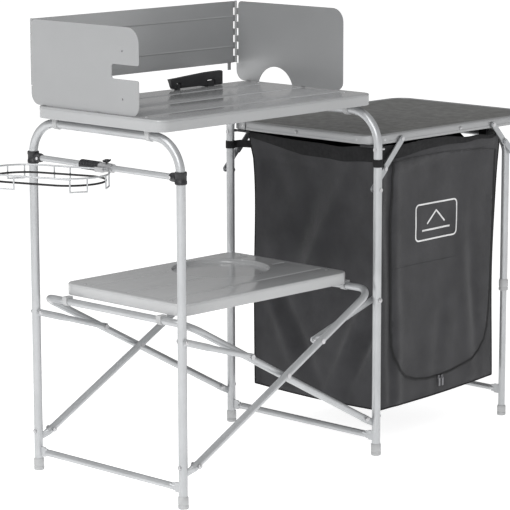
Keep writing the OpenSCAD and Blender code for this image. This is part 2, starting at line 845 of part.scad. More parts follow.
mount_z = side_top - rail_h - 6;
side_stay_z = 597;
fixed_u = [side_x + 94, side_top - 13];
fixed_v = [stand_w, side_stay_z];
fixed_len = norm(fixed_v - fixed_u);
fixed_angle = atan2(fixed_v[1] - fixed_u[1], fixed_v[0] - fixed_u[0]);
fixed_upper = fixed_len * 0.6;
fixed_mid = along(fixed_u, fixed_upper, fixed_angle);

// Mirrored copy about the middle of the stand in Y
module rear_copy() {
    children();
    translate([0, stand_d, 0]) mirror([0, 1, 0]) children();
}

// Mirrored copy about the middle of the side table in Y
module side_copy() {
    children();
    translate([0, 2 * side_mid, 0]) mirror([0, 1, 0]) children();
}

// The rails' inside edge, seen from above
module side_opening() {
    round_rect(side_l - 2 * rail_w, side_w - 2 * rail_w, side_corner - rail_w);
}

module side_rails() {
    color(FRAME_GREY) translate([side_x, side_y, side_top - rail_h]) difference() {
        linear_extrude(rail_h) round_rect(side_l, side_w, side_corner);
        translate([2, 2, -1]) linear_extrude(rail_h - board_t - 1)
            round_rect(side_l - 4, side_w - 4, side_corner - 2);
        translate([rail_w, rail_w, -1]) linear_extrude(rail_h + 2) side_opening();
    }
}

module side_board() {
    color(BOARD_GREY) translate([side_x + rail_w, side_y + rail_w, side_top - board_t - 1])
        linear_extrude(board_t + 0.5) side_opening();
}

// Blocks that carry the side table's rails on the right legs
module side_table_mounts() {
    color(CLIP_GREY) rear_copy() difference() {
        translate([stand_w - 8, 4, mount_z - 6]) cube([28, side_y + 36, 12]);
        translate([stand_w, 0, mount_z - 10]) cylinder(r = leg_r, h = 20);
        translate([stand_w - 20, 0, mount_z]) rotate([0, 90, 0]) cylinder(r = rivet_r, h = 40);
    }
}

module side_leg_saddles() {
    saddle_w = 22;
    color(BLACK_PLASTIC) side_copy() difference() {
        translate([side_leg_x - 15, side_leg_y + side_bend + 4, side_leg_z - 13])
            cube([30, saddle_w, side_top - board_t - 1 - side_leg_z + 13]);
        translate([side_leg_x, 0, side_leg_z]) rotate([-90, 0, 0])
            cylinder(r = side_leg_r + fit, h = stand_d);
    }
}

// One folding-stay bar with a rivet hole at each end, from p along the given angle
module stay_bar(p, len, angle, layer) {
    translate([p[0], stay_y - layer * (stay_t + stay_step), p[1]]) rotate([0, -angle, 0])
        difference() {
            flat_bar(len, stay_w, stay_t);
            for (x = [0, len]) translate([x, -1, 0]) rotate([-90, 0, 0])
                cylinder(r = rivet_r + fit, h = stay_t + 2);
        }
}

function along(p, len, angle) = [p[0] + len * cos(angle), p[1] + len * sin(angle)];

module side_fixed_stays() {
    color(FRAME_GREY) side_copy() {
        stay_bar(fixed_u, fixed_upper, fixed_angle, 0);
        stay_bar(fixed_mid, fixed_len - fixed_upper, fixed_angle, 1);
    }
}

module side_stay_uppers() {
    color(FRAME_GREY) side_copy() stay_bar(stay_u, stay_upper, stay_angle, 0);
}

// Lower bars with the rivets that join them to the upper bars
module side_stay_lowers() {
    elbow = along(stay_u, stay_upper, stay_angle);
    color(FRAME_GREY) side_copy() {
        difference() {
            stay_bar(elbow, stay_len - stay_upper, stay_angle, 1);
            translate([elbow[0], 0, elbow[1]]) rotate([-90, 0, 0]) cylinder(r = rivet_r + 1, h = 40);
        }
        translate([elbow[0], stay_outer, elbow[1]]) rotate([-90, 0, 0])
            cylinder(r = rivet_r + 1, h = stay_t);
        translate([elbow[0], stay_outer, elbow[1]]) rotate([-90, 0, 0])
            headed_bolt(rivet_r, 2 * stay_t + stay_step);
    }
}

side_d = 2 * (side_mid - side_leg_y);

module side_leg_frame() {
    color(FRAME_GREY) translate([side_leg_x, side_leg_y, 0])
        u_tube(2 * side_leg_r, side_d, side_split_z, side_leg_z, side_bend);
}

module side_leg_collars() {
    collar_h = 27;
    skirt = 5;
    color(CLIP_GREY) side_copy() translate([side_leg_x, side_leg_y, side_split_z - skirt])
        difference() {
            cylinder(r = side_leg_r + 2, h = collar_h);
            translate([0, 0, skirt]) cylinder(r = side_leg_r, h = collar_h);
            translate([0, 0, -1]) cylinder(r = side_inner_r + fit, h = collar_h);
        }
}

module side_lower_legs() {
    inner_top = side_split_z + 95;
    color(FRAME_GREY) translate([side_leg_x, side_leg_y, 0]) {
        for (y = [0, side_d]) translate([0, y, foot_sole])
            tube(2 * side_inner_r, inner_top - foot_sole);
        lower_rail(6.5, 62, side_d, 2 * side_inner_r);
    }
}

module side_feet() {
    color(CLIP_GREY) side_copy() translate([side_leg_x, side_leg_y, 0]) difference() {
        union() {
            cylinder(r1 = side_inner_r + 1.4, r2 = side_inner_r + 2.4, h = 2);
            translate([0, 0, 2]) cylinder(r = side_inner_r + 2.4, h = 22);
        }
        translate([0, 0, foot_sole]) cylinder(r = side_inner_r, h = 30);
    }
}

// ---- cupboard ----------------------------------------------------------------

cup_h = cup_top - cup_floor;

module cloth_box(pos, size) { color(CLOTH_GREY) translate(pos) cube(size); }

module cupboard_left() {
    cloth_box([cup_x, cup_y + cloth_t, cup_floor], [cloth_t, cup_d - 2 * cloth_t, cup_h]);
}

module cupboard_right() {
    cloth_box([cup_x + cup_l - cloth_t, cup_y + cloth_t, cup_floor],
        [cloth_t, cup_d - 2 * cloth_t, cup_h]);
}

module cupboard_back() {
    cloth_box([cup_x, cup_y + cup_d - cloth_t, cup_floor], [cup_l, cloth_t, cup_h]);
}

module door_outline() {
    translate([0, 60]) square([door_w, door_h - 60]);
    translate([60, 0]) square([door_w - 120, 61]);
    for (x = [60, door_w - 60]) translate([x, 60]) circle(r = 60);
}

// Front cloth round the door's opening
module cupboard_front() {
    color(CLOTH_GREY) translate([cup_x, cup_y + cloth_t, cup_floor]) rotate([90, 0, 0])
        linear_extrude(cloth_t) difference() {
            square([cup_l, cup_h]);
            translate([door_x - cup_x, door_z - cup_floor]) door_outline();
        }
}

module cupboard_door() {
    color(CLOTH_GREY) translate([door_x, cup_y + cloth_t, door_z]) rotate([90, 0, 0])
        linear_extrude(cloth_t) door_outline();
}

module cupboard_floor() {
    cloth_box([cup_x + cloth_t, cup_y + cloth_t, cup_floor],
        [cup_l - 2 * cloth_t, cup_d - 2 * cloth_t, cloth_t]);
}

// Webbing loops round the right legs, each with a tail to the cupboard's corner
module cupboard_straps() {
    strap_h = 15;
    color(CLOTH_GREY) rear_copy() translate([0, 0, 648]) difference() {
        union() {
            translate([stand_w, 0, 0]) cylinder(r = leg_r + 1.5, h = strap_h);
            translate([stand_w, leg_r - 1, 0]) cube([3, cup_y - leg_r + 1, strap_h]);
            translate([stand_w, cup_y - 3, 0]) cube([cup_x - stand_w, 3, strap_h]);
        }
        translate([stand_w, 0, -1]) cylinder(r = leg_r, h = strap_h + 2);
    }
}

module zip_pull() {
    color(BOLT_STEEL) {
        translate([-3, cup_y - 3.2, door_z - 2]) cube([6, 3, 6]);
        translate([-2.5, cup_y - 2.8, door_z - 20]) cube([5, 1.4, 18]);
    }
}

zip_x = door_x + door_w / 2;
module zip_pull_left() { translate([zip_x - 5, 0, 0]) zip_pull(); }
module zip_pull_right() { translate([zip_x + 5, 0, 0]) zip_pull(); }

left_frame_tube();
left_feet();
left_lower_rail();
crossbar();
crossbar_collars();
collar_bolts();
left_brackets();
left_frame_bolts();
left_deck_clips();
brace_a_tube();
brace_a_pins();
brace_b_tube();
brace_b_pins();
left_struts();
right_struts();
right_frame_tube();
right_feet();
right_lower_rail();
right_brackets();
right_frame_bolts();
right_deck_clips();
lower_shelf();
shelf_battens();
shelf_rivets();
shelf_clips_right();
shelf_clips_left();
main_deck();
deck_battens();
deck_rivets();
carry_handle();
handle_brackets();
screen_back();
screen_left_wing();
screen_right_wing();
screen_hinge_pins();
ring_sleeve();
ring_clamp();
ring_hoop();
ring_elastic();
clamp_screw();
side_board();
side_rails();
side_table_mounts();
side_leg_saddles();
side_fixed_stays();
side_stay_uppers();
side_stay_lowers();
side_leg_frame();
side_leg_collars();
side_lower_legs();
side_feet();
cupboard_left();
cupboard_right();
cupboard_back();
cupboard_front();
cupboard_door();
cupboard_floor();
cupboard_straps();
zip_pull_left();
zip_pull_right();
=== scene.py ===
import json
import math

import bmesh
import bpy
import numpy as np
from mathutils import Matrix, Vector, noise
from mathutils.geometry import delaunay_2d_cdt


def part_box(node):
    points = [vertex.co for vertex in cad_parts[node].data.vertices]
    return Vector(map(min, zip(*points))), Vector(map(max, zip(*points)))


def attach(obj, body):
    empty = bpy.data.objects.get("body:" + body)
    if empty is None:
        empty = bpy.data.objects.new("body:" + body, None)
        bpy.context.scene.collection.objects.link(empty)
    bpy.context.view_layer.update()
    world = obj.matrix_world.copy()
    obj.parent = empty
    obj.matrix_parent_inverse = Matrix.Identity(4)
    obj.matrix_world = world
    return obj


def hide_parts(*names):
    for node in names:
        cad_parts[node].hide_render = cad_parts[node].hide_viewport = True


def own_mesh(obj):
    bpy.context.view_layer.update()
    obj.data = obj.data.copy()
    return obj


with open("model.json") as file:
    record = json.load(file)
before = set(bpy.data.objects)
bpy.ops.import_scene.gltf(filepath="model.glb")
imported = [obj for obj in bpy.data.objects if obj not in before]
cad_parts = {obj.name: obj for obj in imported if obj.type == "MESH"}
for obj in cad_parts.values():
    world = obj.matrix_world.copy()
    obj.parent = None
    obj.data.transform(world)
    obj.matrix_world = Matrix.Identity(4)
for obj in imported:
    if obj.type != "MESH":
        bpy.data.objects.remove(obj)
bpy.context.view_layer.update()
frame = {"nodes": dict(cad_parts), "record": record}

MM = 0.001
PI = math.pi


# ---- camera, light and floor ----------------------------------------------------

def look_at(place, target, roll=0.0):
    """Rotation of a camera or lamp at place that points its -Z at target."""
    turn = (Vector(target) - Vector(place)).to_track_quat("-Z", "Y").to_matrix().to_4x4()
    return Matrix.Translation(Vector(place)) @ turn @ Matrix.Rotation(roll, 4, "Z")


def add_object(name, data):
    obj = bpy.data.objects.new(name, data)
    bpy.context.scene.collection.objects.link(obj)
    return obj


def make_camera(place, target, roll, lens, shift):
    data = bpy.data.cameras.new("camera")
    data.sensor_width = 36
    data.lens = lens
    data.shift_x, data.shift_y = shift
    data.clip_end = 60
    cam = add_object("camera", data)
    cam.matrix_world = look_at(place, target, math.radians(roll))
    bpy.context.scene.camera = cam


def make_lamp(name, place, target, size, power):
    data = bpy.data.lights.new(name, "AREA")
    data.shape = "RECTANGLE"
    data.size, data.size_y = size
    data.energy = power
    add_object(name, data).matrix_world = look_at(place, target)


make_camera((-3.5404, -3.6239, 1.4526), (0.300, 0.2246, 0.400),
            roll=-0.333, lens=179.66, shift=(0.0918, 0.0570))
make_lamp("key", (-3.4, -2.1, 2.6), (0.4, 0.2, 0.4), (1.8, 1.8), 74)
make_lamp("fill", (0.2, -4.2, 1.5), (0.5, 0.2, 0.4), (3.0, 2.4), 5)
make_lamp("top", (-2.2, 0.5, 3.1), (0.4, 0.2, 0.3), (2.6, 2.4), 62)
make_lamp("right", (3.4, -2.2, 1.6), (0.6, 0.2, 0.4), (2.2, 2.2), 5)

world = bpy.data.worlds.new("studio")
bpy.context.scene.world = world
world.use_nodes = True
sky = world.node_tree.nodes["Background"].inputs
sky["Color"].default_value = (1, 1, 1, 1)
sky["Strength"].default_value = 0.36
bpy.context.scene.view_settings.view_transform = "Standard"


# ---- materials ------------------------------------------------------------------

class Paint:
    """A node material in the making: a Principled shader with its tint, roughness and bump."""

    def __init__(self, name, colour, rough, metal=0.0):
        self.mat = bpy.data.materials.new(name)
        self.mat.use_nodes = True
        self.tree = self.mat.node_tree
        self.shader = self.tree.nodes["Principled BSDF"]
        self.place = self.add("ShaderNodeTexCoord").outputs["Object"]
        self.colour, self.rough, self.normal = colour, rough, None
        self.shader.inputs["Metallic"].default_value = metal
        self.shader.inputs["Base Color"].default_value = (*colour, 1)
        self.shader.inputs["Roughness"].default_value = rough
        self.mat.diffuse_color = (*colour, 1)

    def add(self, kind, **values):
        node = self.tree.nodes.new(kind)
        for key, value in values.items():
            setattr(node, key, value)
        return node

    def link(self, out, socket):
        self.tree.links.new(out, socket)

    def number(self, socket, value):
        self.shader.inputs[socket].default_value = value
        return self

    def math(self, operation, a, b=None):
        node = self.add("ShaderNodeMath", operation=operation)
        for i, value in enumerate((a, b)):
            if value is None:
                continue
            if isinstance(value, (int, float)):
                node.inputs[i].default_value = value
            else:
                self.link(value, node.inputs[i])
        return node.outputs[0]

    def stretched(self, scale):
        node = self.add("ShaderNodeMapping")
        node.inputs["Scale"].default_value = scale
        self.link(self.place, node.inputs["Vector"])
        return node.outputs[0]

    def cloud(self, scale, detail=4.0, stretch=None):
        node = self.add("ShaderNodeTexNoise")
        node.inputs["Scale"].default_value = scale
        node.inputs["Detail"].default_value = detail
        self.link(self.stretched(stretch) if stretch else self.place, node.inputs["Vector"])
        return node.outputs["Fac"]

    def spread(self, factor, low, high, edges=(0.3, 0.7)):
        node = self.add("ShaderNodeMapRange")
        node.inputs["From Min"].default_value, node.inputs["From Max"].default_value = edges
        node.inputs["To Min"].default_value, node.inputs["To Max"].default_value = low, high
        self.link(factor, node.inputs["Value"])
        return node.outputs[0]

    def tint(self, factor, low, high):
        """Base colour times a factor that runs from low to high."""
        node = self.add("ShaderNodeMix", data_type="RGBA")
        self.link(self.spread(factor, 0, 1), node.inputs["Factor"])
        node.inputs["A"].default_value = (*[min(1, c * low) for c in self.colour], 1)
        node.inputs["B"].default_value = (*[min(1, c * high) for c in self.colour], 1)
        self.link(node.outputs["Result"], self.shader.inputs["Base Color"])
        return self

    def uneven(self, factor, amount):
        rough = self.spread(factor, self.rough - amount, self.rough + amount)
        self.link(rough, self.shader.inputs["Roughness"])
        return self

    def bump(self, height, strength, distance):
        node = self.add("ShaderNodeBump")
        node.inputs["Strength"].default_value = strength
        node.inputs["Distance"].default_value = distance
        self.link(height, node.inputs["Height"])
        if self.normal is not None:
            self.link(self.normal, node.inputs["Normal"])
        self.normal = node.outputs["Normal"]
        self.link(self.normal, self.shader.inputs["Normal"])
        return self

    def weave(self, pitch):
        """Height of a plain weave on upright cloth: threads along x + y and along z."""
        split = self.add("ShaderNodeSeparateXYZ")
        self.link(self.place, split.inputs[0])
        turns = PI / pitch
        across = self.math("MULTIPLY", self.math("ADD", split.outputs["X"], split.outputs["Y"]), turns)
        up = self.math("MULTIPLY", split.outputs["Z"], turns)
        return self.math("ABSOLUTE", self.math("MULTIPLY", self.math("SINE", across), self.math("SINE", up)))


def painted(name, colour, rough, low=0.93, high=1.06, metallic=0.0):
    p = Paint(name, colour, rough, metallic)
    p.tint(p.cloud(14, 5), low, high).uneven(p.cloud(60), 0.07)
    p.bump(p.cloud(900, 2), 0.12, 0.0004).bump(p.cloud(35), 0.05, 0.001)
    return p.number("Coat Weight", 0.15).number("Coat Roughness", 0.3).mat


def moulded(name, colour, rough=0.5):
    p = Paint(name, colour, rough)
    p.tint(p.cloud(30, 5), 0.86, 1.12).uneven(p.cloud(120), 0.08)
    p.bump(p.cloud(1500, 3), 0.25, 0.0003)
    return p.number("Specular IOR Level", 0.45).mat


def metal(name, colour, rough=0.38, stretch=(1, 1, 1)):
    p = Paint(name, colour, rough, 0.85)
    p.tint(p.cloud(20, 6), 0.85, 1.1).uneven(p.cloud(260, 4, stretch), 0.1)
    p.bump(p.cloud(700, 3, stretch), 0.1, 0.0003)
    return p.mat


def woven(name, colour):
    p = Paint(name, colour, 0.86)
    p.tint(p.cloud(16, 6), 0.82, 1.2).uneven(p.cloud(200), 0.06)
    p.bump(p.cloud(26, 5), 0.22, 0.004).bump(p.cloud(9, 3), 0.2, 0.012)
    p.bump(p.weave(0.0011), 0.5, 0.0003).bump(p.cloud(2200, 2), 0.2, 0.0002)
    p.number("Sheen Weight", 0.22).number("Sheen Roughness", 0.5)
    return p.number("Specular IOR Level", 0.25).mat


def panel_gloss(name, colour):
    p = Paint(name, colour, 0.2)
    p.tint(p.cloud(7, 5), 0.96, 1.04).uneven(p.cloud(45, 5, (1, 6, 6)), 0.05)
    p.bump(p.cloud(420, 3), 0.05, 0.0004).bump(p.cloud(12, 2), 0.06, 0.002)
    return p.number("Coat Weight", 0.55).number("Coat Roughness", 0.12).mat


def satin_sheet(name, colour):
    p = Paint(name, colour, 0.38, 0.6)
    p.tint(p.cloud(9, 3), 0.975, 1.025).uneven(p.cloud(120, 3, (1, 1, 14)), 0.04)
    p.bump(p.cloud(500, 3, (1, 1, 10)), 0.06, 0.0002)
    return p.mat


MAT = {
    "paint": painted("frame_paint", (0.47, 0.48, 0.49), 0.38, metallic=0.55),
    "clip": moulded("light_plastic", (0.44, 0.445, 0.45), 0.45),
    "black": moulded("black_plastic", (0.016, 0.016, 0.018), 0.42),
    "steel": metal("steel", (0.55, 0.55, 0.56)),
    "dull_steel": metal("stay_steel", (0.42, 0.43, 0.44), 0.45, (2, 1, 1)),
    "deck": panel_gloss("deck_panel", (0.35, 0.355, 0.36)),
    # the shelf is the same plastic as the deck; its lighter grey is painted light on a shelf that sits in the
    # deck's shade
    "shelf": panel_gloss("shelf_panel", (0.46, 0.465, 0.47)),
    "pull": metal("zip_pull", (0.2, 0.2, 0.21), 0.35),
    "screen": satin_sheet("windscreen_sheet", (0.39, 0.395, 0.40)),
    "rubber": moulded("elastic", (0.012, 0.012, 0.013), 0.7),
    "rail": satin_sheet("side_rail", (0.37, 0.375, 0.38)),
    "board": painted("side_top", (0.068, 0.068, 0.062), 0.38, 0.98, 1.02),
    "cloth": woven("cupboard_cloth", (0.038, 0.038, 0.041)),
    # black of the hems, piping and straps, made darker than the cloth's own black to paint the shade under the side
    # table's rail
    "binding": moulded("cupboard_binding", (0.006, 0.006, 0.007), 0.85),
    "zip": moulded("zip_tape", (0.014, 0.014, 0.015), 0.7),
    "print": moulded("label_print", (0.75, 0.75, 0.75), 0.6),
}

SLOT_LOOK = {
    "frame_paint": "paint", "light_plastic": "clip", "black_plastic": "black", "steel": "steel",
    "deck_panel": "deck", "windscreen_sheet": "screen", "elastic": "rubber",
    "side_rail": "rail", "side_top": "board", "cupboard_cloth": "cloth",
}
LOOK_SLOT = {look: name for name, look in SLOT_LOOK.items()}
LOOK_SLOT.update({"dull_steel": "steel", "shelf": "deck_panel", "pull": "steel", "binding": "cupboard_cloth",
                  "zip": "cupboard_cloth", "print": "cupboard_cloth"})

for sub in frame["record"]["subparts"]:
    node = frame["nodes"][sub["node"]]
    look = SLOT_LOOK[sub["material_slot"]]
    if "stay" in sub["node"]:
        look = "dull_steel"
    node.data.materials.clear()
    node.data.materials.append(MAT[look])


# ---- mesh helpers ---------------------------------------------------------------

def piece(name, verts, faces, look, body, nodes=(), smooth=40.0, solid=0.0):
    """A mesh object that rides on a CAD body; nodes are the CAD nodes it stands for."""
    mesh = bpy.data.meshes.new(name)
    mesh.from_pydata([tuple(v) for v in verts], [], [tuple(f) for f in faces])
    bm = bmesh.new()
    bm.from_mesh(mesh)
    bmesh.ops.remove_doubles(bm, verts=bm.verts, dist=1e-6)
    bmesh.ops.recalc_face_normals(bm, faces=bm.faces)
    bm.to_mesh(mesh)
    bm.free()
    obj = add_object(name, mesh)
    mesh.materials.append(MAT[look])
    if smooth:
        mesh.shade_smooth()
        mesh.set_sharp_from_angle(angle=math.radians(smooth))
    if solid:
        thick = obj.modifiers.new("thickness", "SOLIDIFY")
        thick.thickness = solid
        thick.offset = 0
    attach(obj, body)
    if nodes:
        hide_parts(*nodes)
    return obj


class Shape:
    """Vertices and faces gathered from several simple solids."""

    def __init__(self):
        self.v, self.f = [], []

    def add(self, verts, faces, matrix=None):
        base = len(self.v)
        self.v += [matrix @ Vector(v) if matrix else Vector(v) for v in verts]
        self.f += [[base + i for i in f] for f in faces]
        return self

    def rings(self, rings, closed=False, caps=True, matrix=None):
        """Quads between rings of equal count; closed joins the last ring to the first."""
        n, verts, faces = len(rings[0]), [p for r in rings for p in r], []
        steps = len(rings) if closed else len(rings) - 1
        for i in range(steps):
            a, b = i * n, ((i + 1) % len(rings)) * n
            faces += [[a + k, a + (k + 1) % n, b + (k + 1) % n, b + k] for k in range(n)]
        if caps and not closed:
            faces += [list(range(n))[::-1], list(range((len(rings) - 1) * n, len(rings) * n))]
        return self.add(verts, faces, matrix)

    def lathe(self, profile, matrix=None, n=32, closed=False):
        """profile is (radius, height) pairs turned about +Z."""
        rings = [at(circle(0, 0, r, n), z) for r, z in profile]
        return self.rings(rings, closed, not closed, matrix)

    def box(self, low, high, cut=0.0):
        """A block with its upright and level edges cut back by cut."""
        (x0, y0, z0), (x1, y1, z1) = low, high
        if not cut:
            corners = [(x0, y0), (x1, y0), (x1, y1), (x0, y1)]
            return self.rings([at(corners, z) for z in (z0, z1)])
        h = cut * 0.7

        def ring(i, z):
            c = cut + i
            return [(x0 + c, y0 + i, z), (x1 - c, y0 + i, z), (x1 - i, y0 + c, z), (x1 - i, y1 - c, z),
                    (x1 - c, y1 - i, z), (x0 + c, y1 - i, z), (x0 + i, y1 - c, z), (x0 + i, y0 + c, z)]
        return self.rings([ring(i, z) for i, z in ((h, z0), (0, z0 + h), (0, z1 - h), (h, z1))])

    def make(self, name, look, body, nodes=(), **how):
        return piece(name, self.v, self.f, look, body, nodes, **how)


def headings(path):
    """Each point of a path with the direction the path takes there."""
    pts = [Vector(p) for p in path]
    last = len(pts) - 1
    return [(p, (pts[min(i + 1, last)] - pts[max(i - 1, 0)]).normalized()) for i, p in enumerate(pts)]


def sweep(path, radius, n, up=(0, 0, 1)):
    """Rings of a round cord along a path, kept from twisting by up."""
    rings = []
    for p, t in headings(path):
        side = t.cross(Vector(up))
        if side.length < 1e-4:
            side = t.cross(Vector((1, 0, 0)))
        side.normalize()
        other = side.cross(t).normalized()
        rings.append([p + side * a + other * b for a, b in circle(0, 0, radius, n)])
    return rings


def ribbon(path, width, thick):
    """Rings of a flat upright strap: width lies along Z, thickness across it."""
    up = Vector((0, 0, 1))
    corners = ((-1, -0.8), (-1, 0.8), (-0.9, 1), (0.9, 1), (1, 0.8), (1, -0.8), (0.9, -1), (-0.9, -1))
    rings = []
    for p, t in headings(path):
        out = t.cross(up).normalized()
        rings.append([p + up * (a * width / 2) + out * (b * thick / 2) for a, b in corners])
    return rings


def arc(cx, cy, r, start, turn, n):
    """Points of an arc that begins at start degrees and runs on by turn degrees."""
    angles = (math.radians(start + turn * k / n) for k in range(n + 1))
    return [(cx + r * math.cos(a), cy + r * math.sin(a)) for a in angles]


def rounded(x0, y0, x1, y1, r, inset=0.0, n=8):
    """Corner-rounded rectangle, the same count of points at every inset."""
    x0, y0, x1, y1 = x0 + inset, y0 + inset, x1 - inset, y1 - inset
    r = max(r - inset, 0.0002)
    out = []
    corners = ((x1 - r, y1 - r), (x0 + r, y1 - r), (x0 + r, y0 + r), (x1 - r, y0 + r))
    for quarter, (cx, cy) in enumerate(corners):
        out += arc(cx, cy, r, 90 * quarter, 90, n)
    return out


def circle(cx, cy, r, n=48):
    return [(cx + r * math.cos(2 * PI * k / n), cy + r * math.sin(2 * PI * k / n)) for k in range(n)]


def capsule(x0, x1, y, r):
    """Outline of a groove along X with round ends."""
    return arc(x1, y, r, -90, 180, 6) + arc(x0, y, r, 90, 180, 6)


def at(points, z):
    return [(x, y, z) for x, y in points]


def fold(s, centre, width):
    """A soft ridge of height 1 at centre."""
    return math.exp(-((s - centre) / width) ** 2)


def within(x, y, loop):
    """True if (x, y) lies inside a closed outline."""
    hit = False
    for a, b in zip(loop, loop[1:] + loop[:1]):
        if (a[1] > y) != (b[1] > y) and x < (b[0] - a[0]) * (y - a[1]) / (b[1] - a[1]) + a[0]:
            hit = not hit
    return hit


def grid_faces(cols, rows):
    """Quads of a grid of points stored row by row, cols and rows being the counts of quads."""
    starts = (j * (cols + 1) + k for j in range(rows) for k in range(cols))
    return [[a, a + 1, a + cols + 2, a + cols + 1] for a in starts]


def filled(loops, holes=()):
    """Triangles inside the first of several (x, y, z) outlines; holes are the indices of loops left open."""
    flat, edges, height = [], [], []
    for loop in loops:
        base = len(flat)
        flat += [Vector((p[0], p[1])) for p in loop]
        height += [p[2] for p in loop]
        edges += [(base + k, base + (k + 1) % len(loop)) for k in range(len(loop))]
    verts, _, faces, source, _, _ = delaunay_2d_cdt(flat, edges, [], 0, 1e-7)
    out = [(v[0], v[1], height[s[0]]) for v, s in zip(verts, source)]
    kept = []
    for f in faces:
        cx, cy = (sum(out[i][k] for i in f) / len(f) for k in (0, 1))
        if within(cx, cy, loops[0]) and not any(within(cx, cy, loops[h]) for h in holes):
            kept.append(list(f))
    return out, kept


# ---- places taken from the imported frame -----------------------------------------

foot_low, foot_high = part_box("left_feet")
LEG_X0 = (foot_low.x + foot_high.x) / 2
FOOT_R = (foot_high.x - foot_low.x) / 2
LEG_Y0 = foot_low.y + FOOT_R
LEG_Y1 = foot_high.y - FOOT_R
right_low, right_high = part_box("right_feet")
LEG_X1 = (right_low.x + right_high.x) / 2
LEG_R = FOOT_R - 1.7 * MM   # the feet's wall is 1.7 mm thick
deck_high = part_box("main_deck")[1]
shelf_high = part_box("lower_shelf")[1]
rails_low, rails_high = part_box("side_rails")
board_low, board_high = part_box("side_board")
JOINTS = {joint["name"]: joint for joint in frame["record"]["behaviour"]["joints"]}
MOUNTS = {mount["name"]: mount for mount in frame["record"]["mounts"]}


# ---- decks ------------------------------------------------------------------------

def pressed_panel(name, node, body, wells=()):
    """Panel with a rolled rim, three pressed grooves along X and round wells, with its underside."""
    low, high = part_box(node)
    top, under, floor_z = high.z, low.z, high.z - 3 * MM
    box = (low.x, low.y, high.x, high.y, 28 * MM)
    rim = [(2.0, under), (0.5, under), (0.0, under + 0.6 * MM), (0.0, top - 5.2 * MM), (0.45, top - 4.7 * MM),
           (0.45, top - 4.1 * MM), (0.0, top - 3.6 * MM), (0.15, top - 2.0 * MM), (0.9, top - 0.8 * MM),
           (2.0, top - 0.15 * MM), (3.4, top)]
    shape = Shape()
    rings = [at(rounded(*box, inset=i * MM), z) for i, z in rim]
    inner = at(rounded(*box, inset=2 * MM), floor_z)
    shape.rings([inner] + rings, caps=False)
    loops = [rings[-1]]
    for share in (0.2, 0.5, 0.8):
        y = low.y + (high.y - low.y) * share
        x0, x1 = low.x + 22 * MM, high.x - 22 * MM
        for r, drop in ((6.2, 0), (5.0, 0.15), (3.6, 1.0), (2.2, 1.4)):
            spans = [(x0, x1)]
            for cx, cy, wr, _ in wells:
                keep = wr + 17 * MM
                if abs(cy - y) < keep:
                    half = math.sqrt(keep ** 2 - (cy - y) ** 2)
                    spans = [(x0, cx - half), (cx + half, x1)]
            loops += [at(capsule(a, b, y, r * MM), top - drop * MM) for a, b in spans]
    for cx, cy, r, depth in wells:
        deep = depth / MM
        for more, drop in ((6, 0), (3, 0), (1.2, 0.5), (0.2, 1.8), (0, deep - 2.2), (-0.8, deep - 0.7),
                           (-2.6, deep), (-12, deep)):
            loops.append(at(circle(cx, cy, r + more * MM, WELL_POINTS), top - drop * MM))
    shape.add(*filled(loops))
    base = [inner]
    for cx, cy, r, depth in wells:
        bottom = floor_z - depth
        wall, foot = (circle(cx, cy, r + out * MM, WELL_POINTS) for out in (2.4, 1.2))
        base.append(at(wall, floor_z))
        shape.rings([at(wall, floor_z), at(wall, bottom + MM), at(foot, bottom)], caps=False)
        shape.add(at(foot, bottom), [list(range(WELL_POINTS))])
    shape.add(*filled(base, list(range(1, len(base)))))
    shape.make(name, body, body, (node,), smooth=35)


WELL_POINTS = 72
RECESS_X, RECESS_Y, RECESS_Z = MOUNTS["shelf_recess_floor"]["pos_m"]
pressed_panel("deck_panel", "main_deck", "deck")
WELL = (RECESS_X, RECESS_Y, 108 * MM, shelf_high.z - RECESS_Z)
# the shelf wears the lighter copy of the deck's grey, which is painted light
pressed_panel("shelf_panel", "lower_shelf", "shelf", [WELL])


def rivet_heads(body, z, r):
    """Low domed rivets with a dimple over the CAD node's four, on an upward face."""
    low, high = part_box(body + "_rivets")
    side = 3.2 * MM
    shape = Shape()
    for x in (low.x + side, high.x - side):
        for y in (low.y + side, high.y - side):
            shape.lathe([(r, 0), (r, 0.25 * MM), (r * 0.86, 0.7 * MM), (r * 0.5, 1.0 * MM),
                         (r * 0.3, 1.0 * MM), (r * 0.2, 0.6 * MM)], Matrix.Translation((x, y, z)), 20)
    shape.make(body + "_rivet_heads", "steel", body, (body + "_rivets",), smooth=50)


rivet_heads("deck", deck_high.z, 3.6 * MM)
rivet_heads("shelf", shelf_high.z, 3.4 * MM)


# ---- side table -------------------------------------------------------------------

RAIL_CORNER = 40 * MM
RAIL_BOX = (rails_low.x, rails_low.y, rails_high.x, rails_high.y, RAIL_CORNER)


def side_table():
    """Hollow rail frame, open towards the middle, and the board set into it."""
    outline = [(0.8, 0), (0.0, 0.8), (0.0, 5.6), (0.7, 6.2), (0.7, 13.6), (0.0, 14.2), (0.0, 18.4), (0.5, 19.5),
               (1.6, 20.0), (12.6, 20.0), (13.7, 19.6), (14.0, 18.8), (14.0, 12.2), (2.2, 12.0), (2.2, 2.0),
               (13.2, 2.0), (14.0, 1.4), (14.0, 0.6), (13.4, 0)]
    rings = [at(rounded(*RAIL_BOX, inset=i * MM, n=10), rails_low.z + h * MM) for i, h in outline]
    Shape().rings(rings, closed=True).make(
        "side_rail_frame", "rail", "right_frame", ("side_rails",), smooth=35)
    inner = (board_low.x, board_low.y, board_high.x, board_high.y, RAIL_CORNER - 14 * MM)
    t, b = board_high.z, board_low.z
    levels = [(0.6, b), (0.2, b + 0.4 * MM), (0.2, t - 1.2 * MM), (0.8, t - 0.3 * MM), (2.2, t)]
    Shape().rings([at(rounded(*inner, inset=i * MM, n=10), z) for i, z in levels]).make(
        "side_board_panel", "board", "right_frame", ("side_board",), smooth=35)


side_table()


